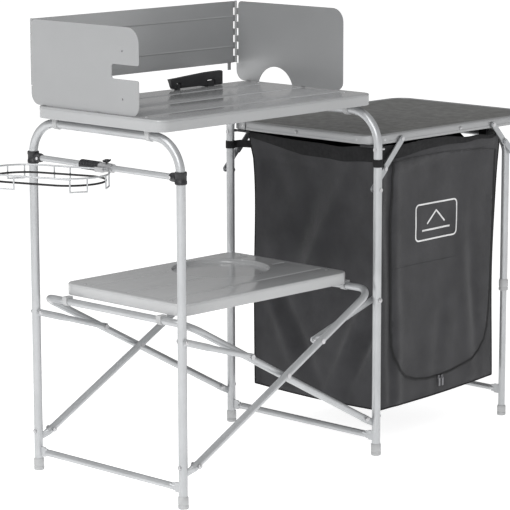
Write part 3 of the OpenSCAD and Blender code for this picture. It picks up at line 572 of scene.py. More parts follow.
def longer(points, more):
    """A corner's arc with a straight run of length more at both ends."""
    points = [Vector(p) for p in points]
    start, end = (points[1] - points[0]).normalized(), (points[-1] - points[-2]).normalized()
    return [points[0] - start * more, *points, points[-1] + end * more]


def side_table_trim():
    """Corner pieces and screws of the rail frame."""
    low, high = rails_low, rails_high
    shape = Shape()
    z0, z1, count = low.z + 0.6 * MM, high.z - 1.0 * MM, 11
    for first in range(0, 4 * count, count):
        skin, core = (longer(rounded(*RAIL_BOX, inset=i * MM, n=count - 1)[first:first + count], 12 * MM)
                      for i in (-0.9, 0.6))
        rings = []
        for a, b in zip(skin, core):
            middle = (a + b) / 2
            rings.append([(*a, z0 + 0.8 * MM), (*a, z1 - 0.8 * MM), (*middle, z1),
                          (*b, z1), (*b, z0), (*middle, z0)])
        shape.rings(rings)
    shape.make("side_rail_corners", "rail", "right_frame", smooth=40)
    heads = Shape()
    screw = [(r * MM, h * MM) for r, h in ((3.4, 0), (3.3, 0.8), (2.2, 1.5), (1.2, 1.5), (0.8, 0.8))]
    z = (low.z + high.z) / 2
    for y in (low.y + 47 * MM, (low.y + high.y) / 2 + 10 * MM, high.y - 42 * MM):
        spot = Matrix.Translation((low.x - 0.1 * MM, y, z))
        heads.lathe(screw, spot @ Matrix.Rotation(-PI / 2, 4, "Y"), 18)
    for x in (low.x + 40 * MM, (low.x + high.x) / 2, high.x - 60 * MM):
        for y, turn in ((low.y + 0.1 * MM, 1), (high.y - 0.1 * MM, -1)):
            heads.lathe(screw, Matrix.Translation((x, y, z)) @ Matrix.Rotation(turn * PI / 2, 4, "X"), 18)
    heads.make("side_rail_screws", "steel", "right_frame", smooth=50)


side_table_trim()


def rail_clips():
    """Short arms from the right legs to the underside of the side table's rails."""
    low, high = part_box("side_table_mounts")
    shape = Shape()
    for y0, y1 in ((low.y + 3 * MM, low.y + 52 * MM), (high.y - 52 * MM, high.y - 3 * MM)):
        shape.box((LEG_X1 + 3 * MM, y0, high.z - 5 * MM), (LEG_X1 + 9 * MM, y1, high.z), cut=1.2 * MM)
    shape.make("side_rail_clips", "black", "right_frame", ("side_table_mounts",), smooth=35)


rail_clips()


# ---- windscreen -------------------------------------------------------------------

back_low, back_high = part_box("screen_back")
HINGE_R = 3 * MM
HINGE_Y = (back_low.y + back_high.y) / 2
HINGE_X0 = back_low.x + HINGE_R
HINGE_X1 = back_high.x - HINGE_R
SHEET = 1.4 * MM
SCREEN_TOP = back_high.z
BACK_Z = SCREEN_TOP - 140 * MM
WING_Z = deck_high.z + MM
KNUCKLES = 9
PITCH = (SCREEN_TOP - BACK_Z) / KNUCKLES
EDGE = 6.5 * MM
CREASES = (BACK_Z + 37 * MM, BACK_Z + 105 * MM)


def knuckle_spans(parity):
    """Bottom and top of every second hinge knuckle; parity 0 is the back's set, 1 the wing's."""
    gap = 0.35 * MM
    return [(BACK_Z + i * PITCH + gap, BACK_Z + (i + 1) * PITCH - gap) for i in range(parity, KNUCKLES, 2)]


def knuckle_set(shape, x, parity):
    r, bore, cut = HINGE_R, 1.5 * MM, 0.3 * MM
    for z0, z1 in knuckle_spans(parity):
        shape.lathe([(bore, z0), (r - cut, z0), (r, z0 + cut), (r, z1 - cut), (r - cut, z1), (bore, z1)],
                    Matrix.Translation((x, HINGE_Y, 0)), 20, closed=True)


def upright_sheet(outline, holes, plane, thick):
    """Plate from a 2-D outline (u, v); plane maps (u, v, w) to the frame."""
    shape = Shape()
    loops_all = [outline] + holes
    left_open = list(range(1, len(loops_all)))
    for side in (-1, 1):
        verts, faces = filled([at(loop, side * thick / 2) for loop in loops_all], left_open)
        shape.add([plane(*p) for p in verts], faces)
    for loop in loops_all:
        rings = [[plane(u, v, s * thick / 2) for u, v in loop] for s in (-1, 1)]
        shape.rings(rings, caps=False)
    return shape


def plate_outline(length, height, radii, edge, extra=()):
    """Outline of a wing seen with its hinge at u = 0: radii at free foot, hinge foot, hinge top, free top."""
    r0, r1, r2, r3 = radii
    pts = [*arc(r1, r1, r1, 180, 90, 10), *extra, *arc(length - r0, r0, r0, 270, 90, 10),
           *arc(length - r3, height - r3, r3, 0, 90, 10), *arc(edge + r2, height - r2, r2, 90, 90, 10)]
    for z0, z1 in knuckle_spans(1)[::-1]:
        pts += [(edge, z1 - WING_Z), (0, z1 - WING_Z), (0, z0 - WING_Z), (edge, z0 - WING_Z)]
    return pts + [(edge, BACK_Z - WING_Z - MM), (0, BACK_Z - WING_Z - MM)]


FOOT_TABS = (34 * MM, 202 * MM)
WING_RADII = (19 * MM, 24 * MM, 9 * MM, 31 * MM)


def wing_plate(name, node, outline, holes, x, hinge_x):
    """One wing with its foot tabs and its own knuckles."""
    shape = upright_sheet(outline, holes, lambda u, v, w: (x + w, HINGE_Y - u, WING_Z + v), SHEET)
    for y in (HINGE_Y - u for u in FOOT_TABS):
        shape.box((x - SHEET / 2, y - 12 * MM, deck_high.z + 0.3 * MM), (x + SHEET / 2, y, WING_Z + MM))
    knuckle_set(shape, hinge_x, 1)
    shape.make("windscreen_" + name + "_panel", "screen", "wing_" + name, (node,), smooth=35)


def wing_panels():
    """Left wing with a slot in its free edge and two holes, right wing with an arch at its foot."""
    height = SCREEN_TOP - WING_Z
    left_l, right_l = (HINGE_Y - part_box("screen_%s_wing" % side)[0].y for side in ("left", "right"))
    slot0, slot1, depth, r = 73 * MM, 103 * MM, 81 * MM, 7 * MM
    lead, cut = 4 * MM, 1.2 * MM
    outline = plate_outline(left_l, height, WING_RADII, 3.2 * MM)
    foot_points = 2 * 11
    slot = [(left_l, slot0 - lead), (left_l - cut, slot0 - cut), (left_l - lead, slot0),
            *arc(left_l - depth + r, slot0 + r, r, 270, -90, 6),
            *arc(left_l - depth + r, slot1 - r, r, 180, -90, 6),
            (left_l - lead, slot1), (left_l - cut, slot1 + cut), (left_l, slot1 + lead)]
    outline = outline[:foot_points] + slot + outline[foot_points:]
    holes = [circle(left_l - 48.5 * MM, v, 2.4 * MM, 16) for v in (131 * MM, 32 * MM)]
    wing_plate("left", "screen_left_wing", outline, holes, HINGE_X0 - HINGE_R + SHEET / 2, HINGE_X0)
    middle, drop, bow = 122 * MM, 17 * MM, 55 * MM
    start = math.asin(drop / bow)
    arch = [(middle - bow * math.cos(a), bow * math.sin(a) - drop)
            for a in (start + (PI - 2 * start) * k / 24 for k in range(25))]
    outline = plate_outline(right_l, height, WING_RADII, EDGE, arch)
    wing_plate("right", "screen_right_wing", outline, [], HINGE_X1 + HINGE_R - SHEET / 2, HINGE_X1)


wing_panels()


def back_panel():
    """Back sheet with two pressed creases along X, a foot tab and hinge knuckles."""
    y = HINGE_Y + HINGE_R - SHEET / 2
    x0, x1 = HINGE_X0 + EDGE, HINGE_X1 - EDGE
    levels = [BACK_Z, BACK_Z + 0.5 * MM]
    for crease in CREASES:
        levels += [crease + d * MM for d in (-4, -2.6, -1.6, -0.8, 0, 0.8, 1.6, 2.6, 4)]
    levels += [SCREEN_TOP - 0.5 * MM, SCREEN_TOP]
    columns = np.linspace(x0, x1, 41)

    def push(x, z):
        out = sum(0.8 * MM * fold(z, crease, 1.3 * MM) for crease in CREASES)
        fade = min(1, (x - x0) / (14 * MM), (x1 - x) / (14 * MM))
        return -out * max(0, fade)
    shape = Shape()
    for side in (-1, 1):
        verts = [(x, y + side * SHEET / 2 + push(x, z), z) for z in levels for x in columns]
        shape.add(verts, grid_faces(len(columns) - 1, len(levels) - 1))
    rim = ([(x, levels[0]) for x in columns] + [(columns[-1], z) for z in levels[1:]]
           + [(x, levels[-1]) for x in columns[::-1][1:]] + [(columns[0], z) for z in levels[::-1][1:-1]])
    shape.rings([[(x, y + s * SHEET / 2 + push(x, z), z) for x, z in rim] for s in (-1, 1)], caps=False)
    shape.box((x1 - 18 * MM, y - SHEET / 2, BACK_Z - 16 * MM), (x1 - 8 * MM, y + SHEET / 2, BACK_Z + MM))
    for x, inward in ((HINGE_X0, 1), (HINGE_X1, -1)):
        knuckle_set(shape, x, 0)
        lo, hi = sorted((x, x + inward * (EDGE + MM)))
        for z0, z1 in knuckle_spans(0):
            shape.box((lo, y - SHEET / 2, z0), (hi, y + SHEET / 2, z1))
    shape.make("windscreen_back_panel", "screen", "windscreen", ("screen_back",), smooth=30)


back_panel()


# ---- frame fittings ---------------------------------------------------------------

def feet(name, node, body, places, tube_r):
    """Moulded feet with a soft sole edge and two shallow rings."""
    low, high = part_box(node)
    r, h = (high.y - low.y - (places[1][1] - places[0][1])) / 2, high.z
    lip = r - 0.5 * MM
    shape = Shape()
    for x, y in places:
        shape.lathe([(0.2 * MM, 0), (r - 1.6 * MM, 0), (lip, 0.6 * MM), (r, 2.0 * MM), (r, 8 * MM), (lip, 8.6 * MM),
                     (lip, 9.8 * MM), (r, 10.4 * MM), (r, h - 3.5 * MM), (lip, h - 1.0 * MM),
                     (r - 1.1 * MM, h), (tube_r, h), (tube_r, h - 4 * MM), (0.2 * MM, 4 * MM)],
                    Matrix.Translation((x, y, 0)), 36, closed=True)
    shape.make(name, "clip", body, (node,), smooth=40)


side_low, side_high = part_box("side_feet")
SIDE_X = (side_low.x + side_high.x) / 2
SIDE_FOOT_R = (side_high.x - side_low.x) / 2
SIDE_Y0, SIDE_Y1 = side_low.y + SIDE_FOOT_R, side_high.y - SIDE_FOOT_R
feet("left_feet_caps", "left_feet", "left_frame", [(LEG_X0, LEG_Y0), (LEG_X0, LEG_Y1)], LEG_R + 0.05 * MM)
feet("right_feet_caps", "right_feet", "right_frame", [(LEG_X1, LEG_Y0), (LEG_X1, LEG_Y1)], LEG_R + 0.05 * MM)
feet("side_feet_caps", "side_feet", "lower_legs", [(SIDE_X, SIDE_Y0), (SIDE_X, SIDE_Y1)],
     SIDE_FOOT_R - 2.4 * MM)


def leg_collars():
    """Telescope collars on the side legs, with a clamp band."""
    low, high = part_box("side_leg_collars")
    r, z0, z1 = (high.x - low.x) / 2, low.z, high.z
    inner, outer, band = r - 3.3 * MM, r - 1.95 * MM, r - 0.7 * MM
    shape = Shape()
    for y in (SIDE_Y0, SIDE_Y1):
        shape.lathe([(inner, z0), (r - 1.0 * MM, z0), (r, z0 + MM), (r, z0 + 6 * MM), (band, z0 + 6.8 * MM),
                     (band, z0 + 9 * MM), (r, z0 + 10 * MM), (r, z1 - 4 * MM), (r - 1.2 * MM, z1 - 0.6 * MM),
                     (outer, z1), (outer, z0 + 5 * MM), (inner, z0 + 5 * MM)],
                    Matrix.Translation((SIDE_X, y, 0)), 36, closed=True)
    shape.make("side_leg_collar_rings", "clip", "side_legs", ("side_leg_collars",), smooth=40)


leg_collars()

collar_low, collar_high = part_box("crossbar_collars")
bar_low, bar_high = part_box("crossbar")
BAR_Z = (bar_low.z + bar_high.z) / 2
BAR_R = (bar_high.z - bar_low.z) / 2


def crossbar_collars():
    """Split collar round each leg with a clamping lug, and the socket that holds the crossbar."""
    shape = Shape()
    r = (collar_high.x - collar_low.x) / 2
    half = (collar_high.z - collar_low.z) / 2
    inner, bore, cut = LEG_R + 0.05 * MM, BAR_R + 0.05 * MM, 1.2 * MM
    ear, reach = BAR_R + 3.2 * MM, LEG_R + 18 * MM
    for y, turn in ((LEG_Y0, 0), (LEG_Y1, PI)):
        spot = Matrix.Translation((LEG_X0, y, BAR_Z)) @ Matrix.Rotation(turn, 4, "Z")
        shape.lathe([(inner, -half), (r - cut, -half), (r, -half + cut), (r, -6 * MM), (r - 0.8 * MM, -5 * MM),
                     (r - 0.8 * MM, 5 * MM), (r, 6 * MM), (r, half - cut), (r - cut, half), (inner, half)],
                    spot, 40, closed=True)
        shape.lathe([(bore, LEG_R - MM), (ear, LEG_R - MM), (ear, reach - 5 * MM), (ear - 0.8 * MM, reach - 4 * MM),
                     (ear - 0.8 * MM, reach - cut), (ear - 1.6 * MM, reach), (bore, reach)],
                    spot @ Matrix.Rotation(-PI / 2, 4, "X"), 36, closed=True)
    shape.make("crossbar_collar_mouldings", "black", "left_frame", ("crossbar_collars",), smooth=40)


crossbar_collars()


def head_dome(shape, place, axis, r, turn=0.0):
    """Domed bolt head with a socket recess, standing on place and facing axis."""
    rot = Vector((0, 0, 1)).rotation_difference(Vector(axis)).to_matrix().to_4x4()
    m = Matrix.Translation(Vector(place)) @ rot @ Matrix.Rotation(turn, 4, "Z")
    shape.lathe([(r, -0.2 * MM), (r, 0.3 * MM), (r * 0.93, 0.9 * MM), (r * 0.78, 1.5 * MM), (r * 0.55, 1.85 * MM),
                 (r * 0.42, 1.9 * MM)], m, 24)
    socket = ((0.40, 1.95), (0.40, 2.0), (0.33, 2.0), (0.31, 1.2))
    shape.rings([at(circle(0, 0, r * k, 6), h * MM) for k, h in socket], matrix=m)


PIVOT_X, _, PIVOT_Z = JOINTS["main_fold"]["pos_m"]
STRUT_Z = 352 * MM   # height of the bolts that carry the struts


def strut_tubes():
    """Slim tubes with flattened ends from the braces' pivots to the bolts on the legs."""
    for name, leg_x in (("left", LEG_X0), ("right", LEG_X1)):
        low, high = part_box(name + "_struts")
        pivot = Vector(JOINTS[name + "_strut_pivot"]["pos_m"])
        run = Vector((leg_x, 0, STRUT_Z)) - Vector((pivot.x, 0, pivot.z))
        length, run = run.length, run.normalized()
        up = Vector((-run.z, 0, run.x))
        flat, tube = (7.5 * MM, 1.7 * MM), (6.4 * MM, 6.4 * MM)
        stations = [(-6.5 * MM, 3 * MM, 1.5 * MM), (-4 * MM, *flat), (8 * MM, *flat), (22 * MM, *tube),
                    (length - 84 * MM, *tube), (length - 66 * MM, *flat), (length + 4 * MM, *flat),
                    (length + 6.5 * MM, 3 * MM, 1.5 * MM)]
        shape = Shape()
        for y in (low.y + 6 * MM, high.y - 6 * MM):
            start = Vector((pivot.x, y, pivot.z))
            shape.rings([[start + run * s + up * (h * a) + Vector((0, t * b, 0))
                          for a, b in circle(0, 0, 1, 20)] for s, h, t in stations])
        shape.make(name + "_strut_tubes", "paint", "struts_" + name, (name + "_struts",), smooth=50)


strut_tubes()


BRACE_PLANE = abs(JOINTS["main_fold"]["pos_m"][1])


def brace_ends():
    """Slim sockets that carry the braces straight to the legs."""
    stations = ((4, 7.4, 2.2, 0.55), (9, 7.8, 3.0, 0.4), (16, 8.0, 6.0, 0.15), (23, 8.5, 8.4, 0),
                (34, 8.5, 8.4, 0), (35, 8.2, 8.1, 0))
    for name, leg_x, side in (("left", LEG_X0, 1), ("right", LEG_X1, -1)):
        plane = -side * BRACE_PLANE
        slope = Vector((side * -0.475, 0, 0.88))
        shape = Shape()
        for y in (LEG_Y0 + plane, LEG_Y1 + plane):
            rings = []
            for along, h, t, shift in stations:
                rise = (along * MM - PIVOT_X) * 0.54
                centre = Vector((leg_x + side * along * MM, y - plane * shift, PIVOT_Z + rise))
                rings.append([centre + slope * (h * a * MM) + Vector((0, t * b * MM, 0))
                              for a, b in circle(0, 0, 1, 24)])
            shape.rings(rings)
        shape.make(name + "_brace_sockets", "paint", name + "_frame", (name + "_brackets",), smooth=50)


brace_ends()


def bolt_heads():
    """Domes over the flat heads of the frames' bolts and the braces' pins."""
    ears, reach, plain = 12.1 * MM, 16.1 * MM, LEG_R + 1.6 * MM
    for name, x, out in (("left", LEG_X0, -1), ("right", LEG_X1, 1)):
        shape = Shape()
        near, far = (reach, plain) if out < 0 else (plain, reach)
        for y in (LEG_Y0, LEG_Y1):
            head_dome(shape, (x + out * (LEG_R + 2 * MM), y, PIVOT_Z), (out, 0, 0), 4.2 * MM, 0.3)
            for s in (-1, 1):
                place = (x - out * PIVOT_X, y + out * BRACE_PLANE + s * ears, PIVOT_Z)
                head_dome(shape, place, (0, s, 0), 5.0 * MM, 0.2)
            head_dome(shape, (x, y - near, STRUT_Z), (0, -1, 0), 5.0 * MM, 0.5)
            head_dome(shape, (x, y + far, STRUT_Z), (0, 1, 0), 5.0 * MM, 0.5)
        shape.make(name + "_bolt_domes", "steel", name + "_frame", smooth=45)
    low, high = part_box("collar_bolts")
    shape = Shape()
    for y in (LEG_Y0 + LEG_R + 13 * MM, LEG_Y1 - LEG_R - 13 * MM):
        for s, x in ((-1, low.x), (1, high.x)):
            head_dome(shape, (x - s * 2.2 * MM, y, BAR_Z), (s, 0, 0), 3.5 * MM)
    shape.make("collar_bolt_domes", "steel", "left_frame", ("collar_bolts",), smooth=45)


bolt_heads()


# ---- bag ring ---------------------------------------------------------------------

def ring_fittings():
    """Ribbed sleeve on the crossbar and the clamp's wing knob."""
    low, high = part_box("ring_sleeve")
    r, bore, y0, y1 = (high.z - low.z) / 2, BAR_R + 0.08 * MM, low.y, high.y
    shape = Shape()
    ribs = [(bore, y0), (r - MM, y0), (r, y0 + MM)]
    for k in range(6):
        y, dip = y0 + (y1 - y0) * (k + 1) / 7, r - 0.6 * MM
        ribs += [(r, y - 1.4 * MM), (dip, y - 0.7 * MM), (dip, y + 0.7 * MM), (r, y + 1.4 * MM)]
    ribs += [(r, y1 - MM), (r - MM, y1), (bore, y1)]
    axis = Matrix.Translation((LEG_X0, 0, BAR_Z)) @ Matrix.Rotation(-PI / 2, 4, "X")
    shape.lathe(ribs, axis, 32, closed=True)
    shape.make("ring_sleeve_grip", "black", "bag_ring", ("ring_sleeve",), smooth=40)
    low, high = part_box("clamp_screw")
    x, y, z = (low.x + high.x) / 2, (low.y + high.y) / 2, high.z
    knob = Shape()
    knob.lathe([(2 * MM, low.z), (2 * MM, z - 11 * MM), (4.6 * MM, z - 11 * MM), (5.5 * MM, z - 10 * MM),
                (5.5 * MM, z - 6 * MM), (4.4 * MM, z - 4.6 * MM)], Matrix.Translation((x, y, 0)), 28)
    wing = ((3.2, -9.4, 2.2), (5.0, -9.4, 2.1), (7.4, -8.8, 1.9), (9.2, -7.8, 1.7), (10.4, -6.6, 1.5),
            (10.9, -5.6, 1.1))
    for s in (-1, 1):
        def kept(u, h):
            return min(max(x + s * u * MM, low.x), high.x), min(z + h * MM, z)
        rings = []
        for u, h, t in wing:
            edge = [(*kept(u + 2.2 * a, h - 0.9 * a), y + t * b * MM) for a, b in circle(0, 0, 1, 12)]
            rings.append([(px, py, pz) for px, pz, py in edge])
        knob.rings(rings)
    knob.make("clamp_wing_knob", "black", "screw", ("clamp_screw",), smooth=50)


ring_fittings()


def elastic_band():
    """The black elastic a little fuller than its CAD core."""
    core = frame["nodes"]["ring_elastic"]
    swell = 0.9 * MM
    verts = [core.matrix_world @ (v.co + v.normal * swell) for v in core.data.vertices]
    faces = [list(face.vertices) for face in core.data.polygons]
    piece("ring_elastic_band", verts, faces, "rubber", "bag_ring", ("ring_elastic",), smooth=60)


elastic_band()


# ---- carry handle -------------------------------------------------------------------

def carry_handle():
    """Upright wedge-shaped grip on a round pivot bead, notched over its two brackets."""
    low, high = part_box("carry_handle")
    x0, y, axis = low.x + 7 * MM, (low.y + high.y) / 2, low.z + 6.4 * MM
    half = (high.y - low.y) / 2 - 0.4 * MM
    stations = ((-6.6, 16.8, 17.8), (-3.5, 8.5, 18.2), (0, -1, 18.5), (2, -4.2, 18.7), (11.8, -4.2, 19.2),
                (12, 7.2, 19.2), (25, 7.2, 20.1), (25.2, -4.2, 20.1), (60, -4.2, 22.4), (95, -4.2, 24.6),
                (97, -6.0, 24.7), (106.8, -6.0, 25.2), (107, 7.2, 25.2), (132, 7.2, 25.7), (132.2, -6.0, 25.7),
                (153, -6.0, 25.9), (155.6, -4.6, 25.2))
    rings = []
    for u, bottom, top in stations:
        r = min(2.6, (top - bottom) / 2 - 0.2) * MM
        section = rounded(y - half, axis + bottom * MM, y + half, axis + top * MM, r, n=4)
        rings.append([(x0 + u * MM, a, b) for a, b in section])
    Shape().rings(rings).make("carry_handle_grip", "black", "handle", ("carry_handle",), smooth=45)


carry_handle()


# ---- cupboard ----------------------------------------------------------------------

cup_low, cup_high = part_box("cupboard_left")
CX0, CX1 = cup_low.x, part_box("cupboard_right")[1].x
CY0, CY1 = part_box("cupboard_front")[0].y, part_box("cupboard_back")[1].y
CZ0, CZ1 = cup_low.z, cup_high.z
HEIGHT = CZ1 - CZ0
WALL_OUT = [Vector(v) for v in ((0, -1, 0), (1, 0, 0), (0, 1, 0), (-1, 0, 0))]   # front, right, back, left


def soft_noise(x, y, z, scale):
    return noise.noise(Vector((x * scale, y * scale, z * scale)))


def corner_at(i, t):
    """Cupboard corner i (0 front left, 1 front right, 2 rear right, 3 rear left) at height share t."""
    d = 1 - t
    x, y = ((CX0, CY0), (CX1, CY0), (CX1, CY1), (CX0, CY1))[i]
    pull = ((20, 5), (-2, 6), (-6, -8), (10, -6))[i]
    bow = math.sin(PI * t) * 2.0
    sx, sy = ((1, 1), (-1, 1), (-1, -1), (1, -1))[i]
    waist = (0, -7, 0, 13)[i] * fold(t, (0, 0.45, 0, 0.8)[i], 0.3) * min(1, d / 0.1)
    waist += (0, 6, 0, -3)[i] * fold(t, 1, 0.12)
    return x + (pull[0] * d ** 1.3 + sx * bow + waist) * MM, y + (pull[1] * d ** 1.2 + sy * bow) * MM


BOTTOM = (-3, 13, 16, 2)   # lift of the four bottom corners, in mm
# Each drape is a height in mm, its lean, its place and width along the wall, its level and reach in height.
DRAPES = {
    0: ((3.2, 0.10, 0.80, 0.05, 0.28, 0.25), (-2.4, 0.12, 0.88, 0.04, 0.40, 0.30),
        (-2.6, -0.25, 0.475, 0.05, 0.22, 0.16), (2.0, 0, 0.42, 0.06, 0.10, 0.12)),
    3: ((6.0, 0.75, 0.92, 0.07, 0.62, 0.26), (-5.0, 0.75, 1.10, 0.08, 0.62, 0.25),
        (-4.5, -0.90, 0.42, 0.06, 0.24, 0.18), (3.5, -0.90, 0.55, 0.06, 0.24, 0.18),
        (7.0, 0.82, 0.42, 0.05, 0.24, 0.20), (-8.0, 0.82, 0.30, 0.05, 0.26, 0.20),
        (-6.0, 0, 0.83, 0.12, 0.87, 0.10), (5.0, 0, 0.50, 0.25, 0.62, 0.20)),
}


def bottom_z(i, u):
    a, b = BOTTOM[i], BOTTOM[(i + 1) % 4]
    return CZ0 + (a + (b - a) * u - 4.0 * math.sin(PI * u)) * MM


def top_z(i, u):
    sag = (8 * fold(u, 0.74, 0.12) + 12 * fold(u, 0.93, 0.08) + 3 * fold(u, 0.22, 0.1),
           46 * fold(u, 0.17, 0.13) + 4 * math.sin(PI * u), 3 * math.sin(PI * u),
           7 * math.sin(PI * u) + 4 * fold(u, 0.72, 0.1))[i]
    return CZ1 - (1.0 + sag) * MM


def wall_push(i, u, t):
    """How far a wall stands out from its flat plane, in mm: belly, tension folds and fine creases."""
    edge = min(1.0, u / 0.07, (1 - u) / 0.07) * min(1.0, t / 0.03 + 0.15, (1 - t) / 0.06 + 0.1)
    s, belly, v = i * 7.3, math.sin(PI * u), 1 - u if i == 3 else u
    out = sum(height * fold(v + lean * t, place, width) * fold(t, level, reach)
              for height, lean, place, width, level, reach in DRAPES.get(i, ()))
    if i == 0:
        out += -5.0 * belly * t + 2.5 * fold(u, 0.16, 0.035) * (1 - 0.5 * t) - 3.0 * fold(u, 0.10, 0.035)
        out += 2.4 * fold(t - 0.09 * u, 0.90, 0.022) - 3.0 * fold(t - 0.09 * u, 0.945, 0.018)
    elif i == 3:
        out += -6.0 * belly * (0.35 + 0.65 * t) + 5.0 * belly * (1 - t) ** 2
    else:
        out += -5.0 * belly * t + 3.0 * fold(u + 0.5 * t, 0.8, 0.08) - 3.0 * fold(u - 0.6 * t, 0.3, 0.08)
    out += 2.6 * soft_noise(u * 3 + s, t * 2.4, s, 1.3) + 0.9 * soft_noise(u * 6 + s, t * 7, s, 1.3)
    out += 0.12 * soft_noise(u * 20 + s, t * 20, s, 1.2)
    return 1.5 * out * edge


def wall_point(i, u, t, off=0.0):
    """A point of wall i; u runs from corner i to corner i + 1, off stands out in metres."""
    a, b = corner_at(i, t), corner_at((i + 1) % 4, t)
    x, y = a[0] + (b[0] - a[0]) * u, a[1] + (b[1] - a[1]) * u
    z0, z1 = bottom_z(i, u), top_z(i, u)
    return Vector((x, y, z0 + (z1 - z0) * t)) + WALL_OUT[i] * (wall_push(i, u, t) * MM + off)


def wall_at(i, across, z, off=0.0):
    """The wall's point nearest a flat position: across is x or y on the wall, z the height."""
    t = min(1, max(0, (z - CZ0) / (CZ1 - CZ0)))
    for _ in range(3):
        a, b = corner_at(i, t), corner_at((i + 1) % 4, t)
        k = 0 if i in (0, 2) else 1
        u = min(1, max(0, (across - a[k]) / (b[k] - a[k])))
        z0, z1 = bottom_z(i, u), top_z(i, u)
        t = min(1, max(0, (z - z0) / (z1 - z0)))
    return wall_point(i, u, t, off)


def cloth(part, verts, faces, thick, flat, held, rests, **more):
    """One sewn sheet of the cupboard, standing for the CAD node of the same part."""
    obj = piece("cupboard_" + part + "_cloth", verts, faces, "cloth", "right_frame", ("cupboard_" + part,),
                smooth=0, solid=thick)
    obj.data.shade_smooth()
    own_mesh(obj)


def cupboard_walls():
    cols, rows = 96, 120
    for i, (part, width) in enumerate((("front", CX1 - CX0), ("right", CY1 - CY0), ("back", CX1 - CX0),
                                       ("left", CY1 - CY0))):
        verts = [wall_point(i, k / cols, j / rows) for j in range(rows + 1) for k in range(cols + 1)]
        cloth(part, verts, grid_faces(cols, rows), 0.9 * MM, (width, HEIGHT), "hung", "side_rail_frame")


cupboard_walls()


def cupboard_base():
    """Floor cloth, dipping between its four bottom corners."""
    n, verts = 28, []
    for j in range(n + 1):
        for k in range(n + 1):
            u, v = k / n, j / n
            front, rear = wall_point(0, u, 0), wall_point(2, 1 - u, 0)
            left, right = wall_point(3, 1 - v, 0), wall_point(1, v, 0)
            p = front.lerp(rear, v) * 0.5 + left.lerp(right, u) * 0.5
            if 0 < k < n and 0 < j < n:
                dip = 3 - 5 * math.sin(PI * u) * math.sin(PI * v) + 1.5 * soft_noise(u * 5, v * 5, 2, 1.1)
                p.z += dip * MM
            verts.append(p)
    cloth("floor", verts, grid_faces(n, n), 0.9 * MM, (CX1 - CX0, CY1 - CY0), "stretched",
          "cupboard_front_cloth")


cupboard_base()


def strip_on_wall(i, path, width, off, thick):
    """Rings of a narrow tape lying on a wall along (across, z) points."""
    n = WALL_OUT[i]
    section = ((-1, -0.5), (-1, 0.2), (-0.8, 0.5), (0.8, 0.5), (1, 0.2), (1, -0.5))
    rings = []
    for p, t in headings([wall_at(i, a, z, off) for a, z in path]):
        side = t.cross(n).normalized()
        rings.append([p + side * (a * width / 2) + n * (b * thick) for a, b in section])
    return rings


def spaced(points, step):
    """Points at an even step along straight runs."""
    out = []
    for (ax, ay), (bx, by) in zip(points, points[1:]):
        n = max(1, round(math.hypot(bx - ax, by - ay) / step))
        out += [(ax + (bx - ax) * k / n, ay + (by - ay) * k / n) for k in range(n)]
    return out + [points[-1]]


# The zip's line over the front, from its left end down, round the foot and up: (x, z) in mm.
ZIP_LINE = ((678, 646), (676, 520), (677, 405), (678, 300), (681, 232), (690, 202), (706, 174), (730, 153),
            (765, 141), (805, 137), (848, 137), (890, 142), (930, 149), (962, 158), (990, 173), (1009, 196),
            (1018, 226), (1022, 262), (1026, 340), (1029, 430), (1031, 540), (1032, 640))
DOOR_TOP = ((1032, 640), (978, 648), (850, 652), (740, 650), (678, 646))
POCKET_SEAM = ((682, 404), (790, 405), (905, 405))


def in_metres(points):
    return [(x * MM, z * MM) for x, z in points]


def trim(shape, name, look, body="right_frame", nodes=(), smooth=40):
    """A finished piece of the cupboard's trim, with a mesh of its own."""
    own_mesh(shape.make(name, look, body, nodes, smooth=smooth))


def cupboard_door():
    """Door panel inside its zip: a second cloth just proud of the front, with a bound pocket seam."""
    loop = spaced(in_metres(ZIP_LINE), 7 * MM)
    outline = loop + spaced(in_metres(DOOR_TOP), 7 * MM)[1:-1]
    xs, zs = [p[0] for p in outline], [p[1] for p in outline]
    count, margin, step = len(outline), 3.2 * MM, 5.5 * MM
    grid = []
    x = min(xs)
    while x < max(xs):
        z = min(zs)
        while z < max(zs):
            if within(x, z, outline) and min(math.hypot(x - a, z - b) for a, b in outline) > margin:
                grid.append((x, z))
            z += step
        x += step
    edges = [(k, (k + 1) % count) for k in range(count)]
    flat, _, faces, _, _, _ = delaunay_2d_cdt([Vector(p) for p in outline + grid], edges, [], 1, 1e-7)
    verts = [wall_at(0, v[0], v[1], 1.3 * MM) for v in flat]
    width, height = max(xs) - min(xs), max(zs) - min(zs)
    cloth("door", verts, faces, 0.8 * MM, (width, height), "hung", "cupboard_front_cloth",
          area=0.95 * width * height)
    trim(Shape().rings(strip_on_wall(0, loop, 7 * MM, 1.9 * MM, 0.6 * MM)), "door_zip_tape", "zip")
    teeth = Shape()
    for start, end in zip(loop, loop[1:]):
        a, b = wall_at(0, *start, 2.4 * MM), wall_at(0, *end, 2.4 * MM)
        for s in (0.0, 0.34, 0.67):
            teeth.rings(sweep([a.lerp(b, s + 0.03), a.lerp(b, s + 0.27)], 0.9 * MM, 6, up=(0, 1, 0)))
    trim(teeth, "door_zip_teeth", "zip")
    seam = strip_on_wall(0, spaced(in_metres(POCKET_SEAM), 8 * MM), 3.0 * MM, 2.1 * MM, 0.5 * MM)
    trim(Shape().rings(seam), "door_pocket_seam", "cloth")


cupboard_door()


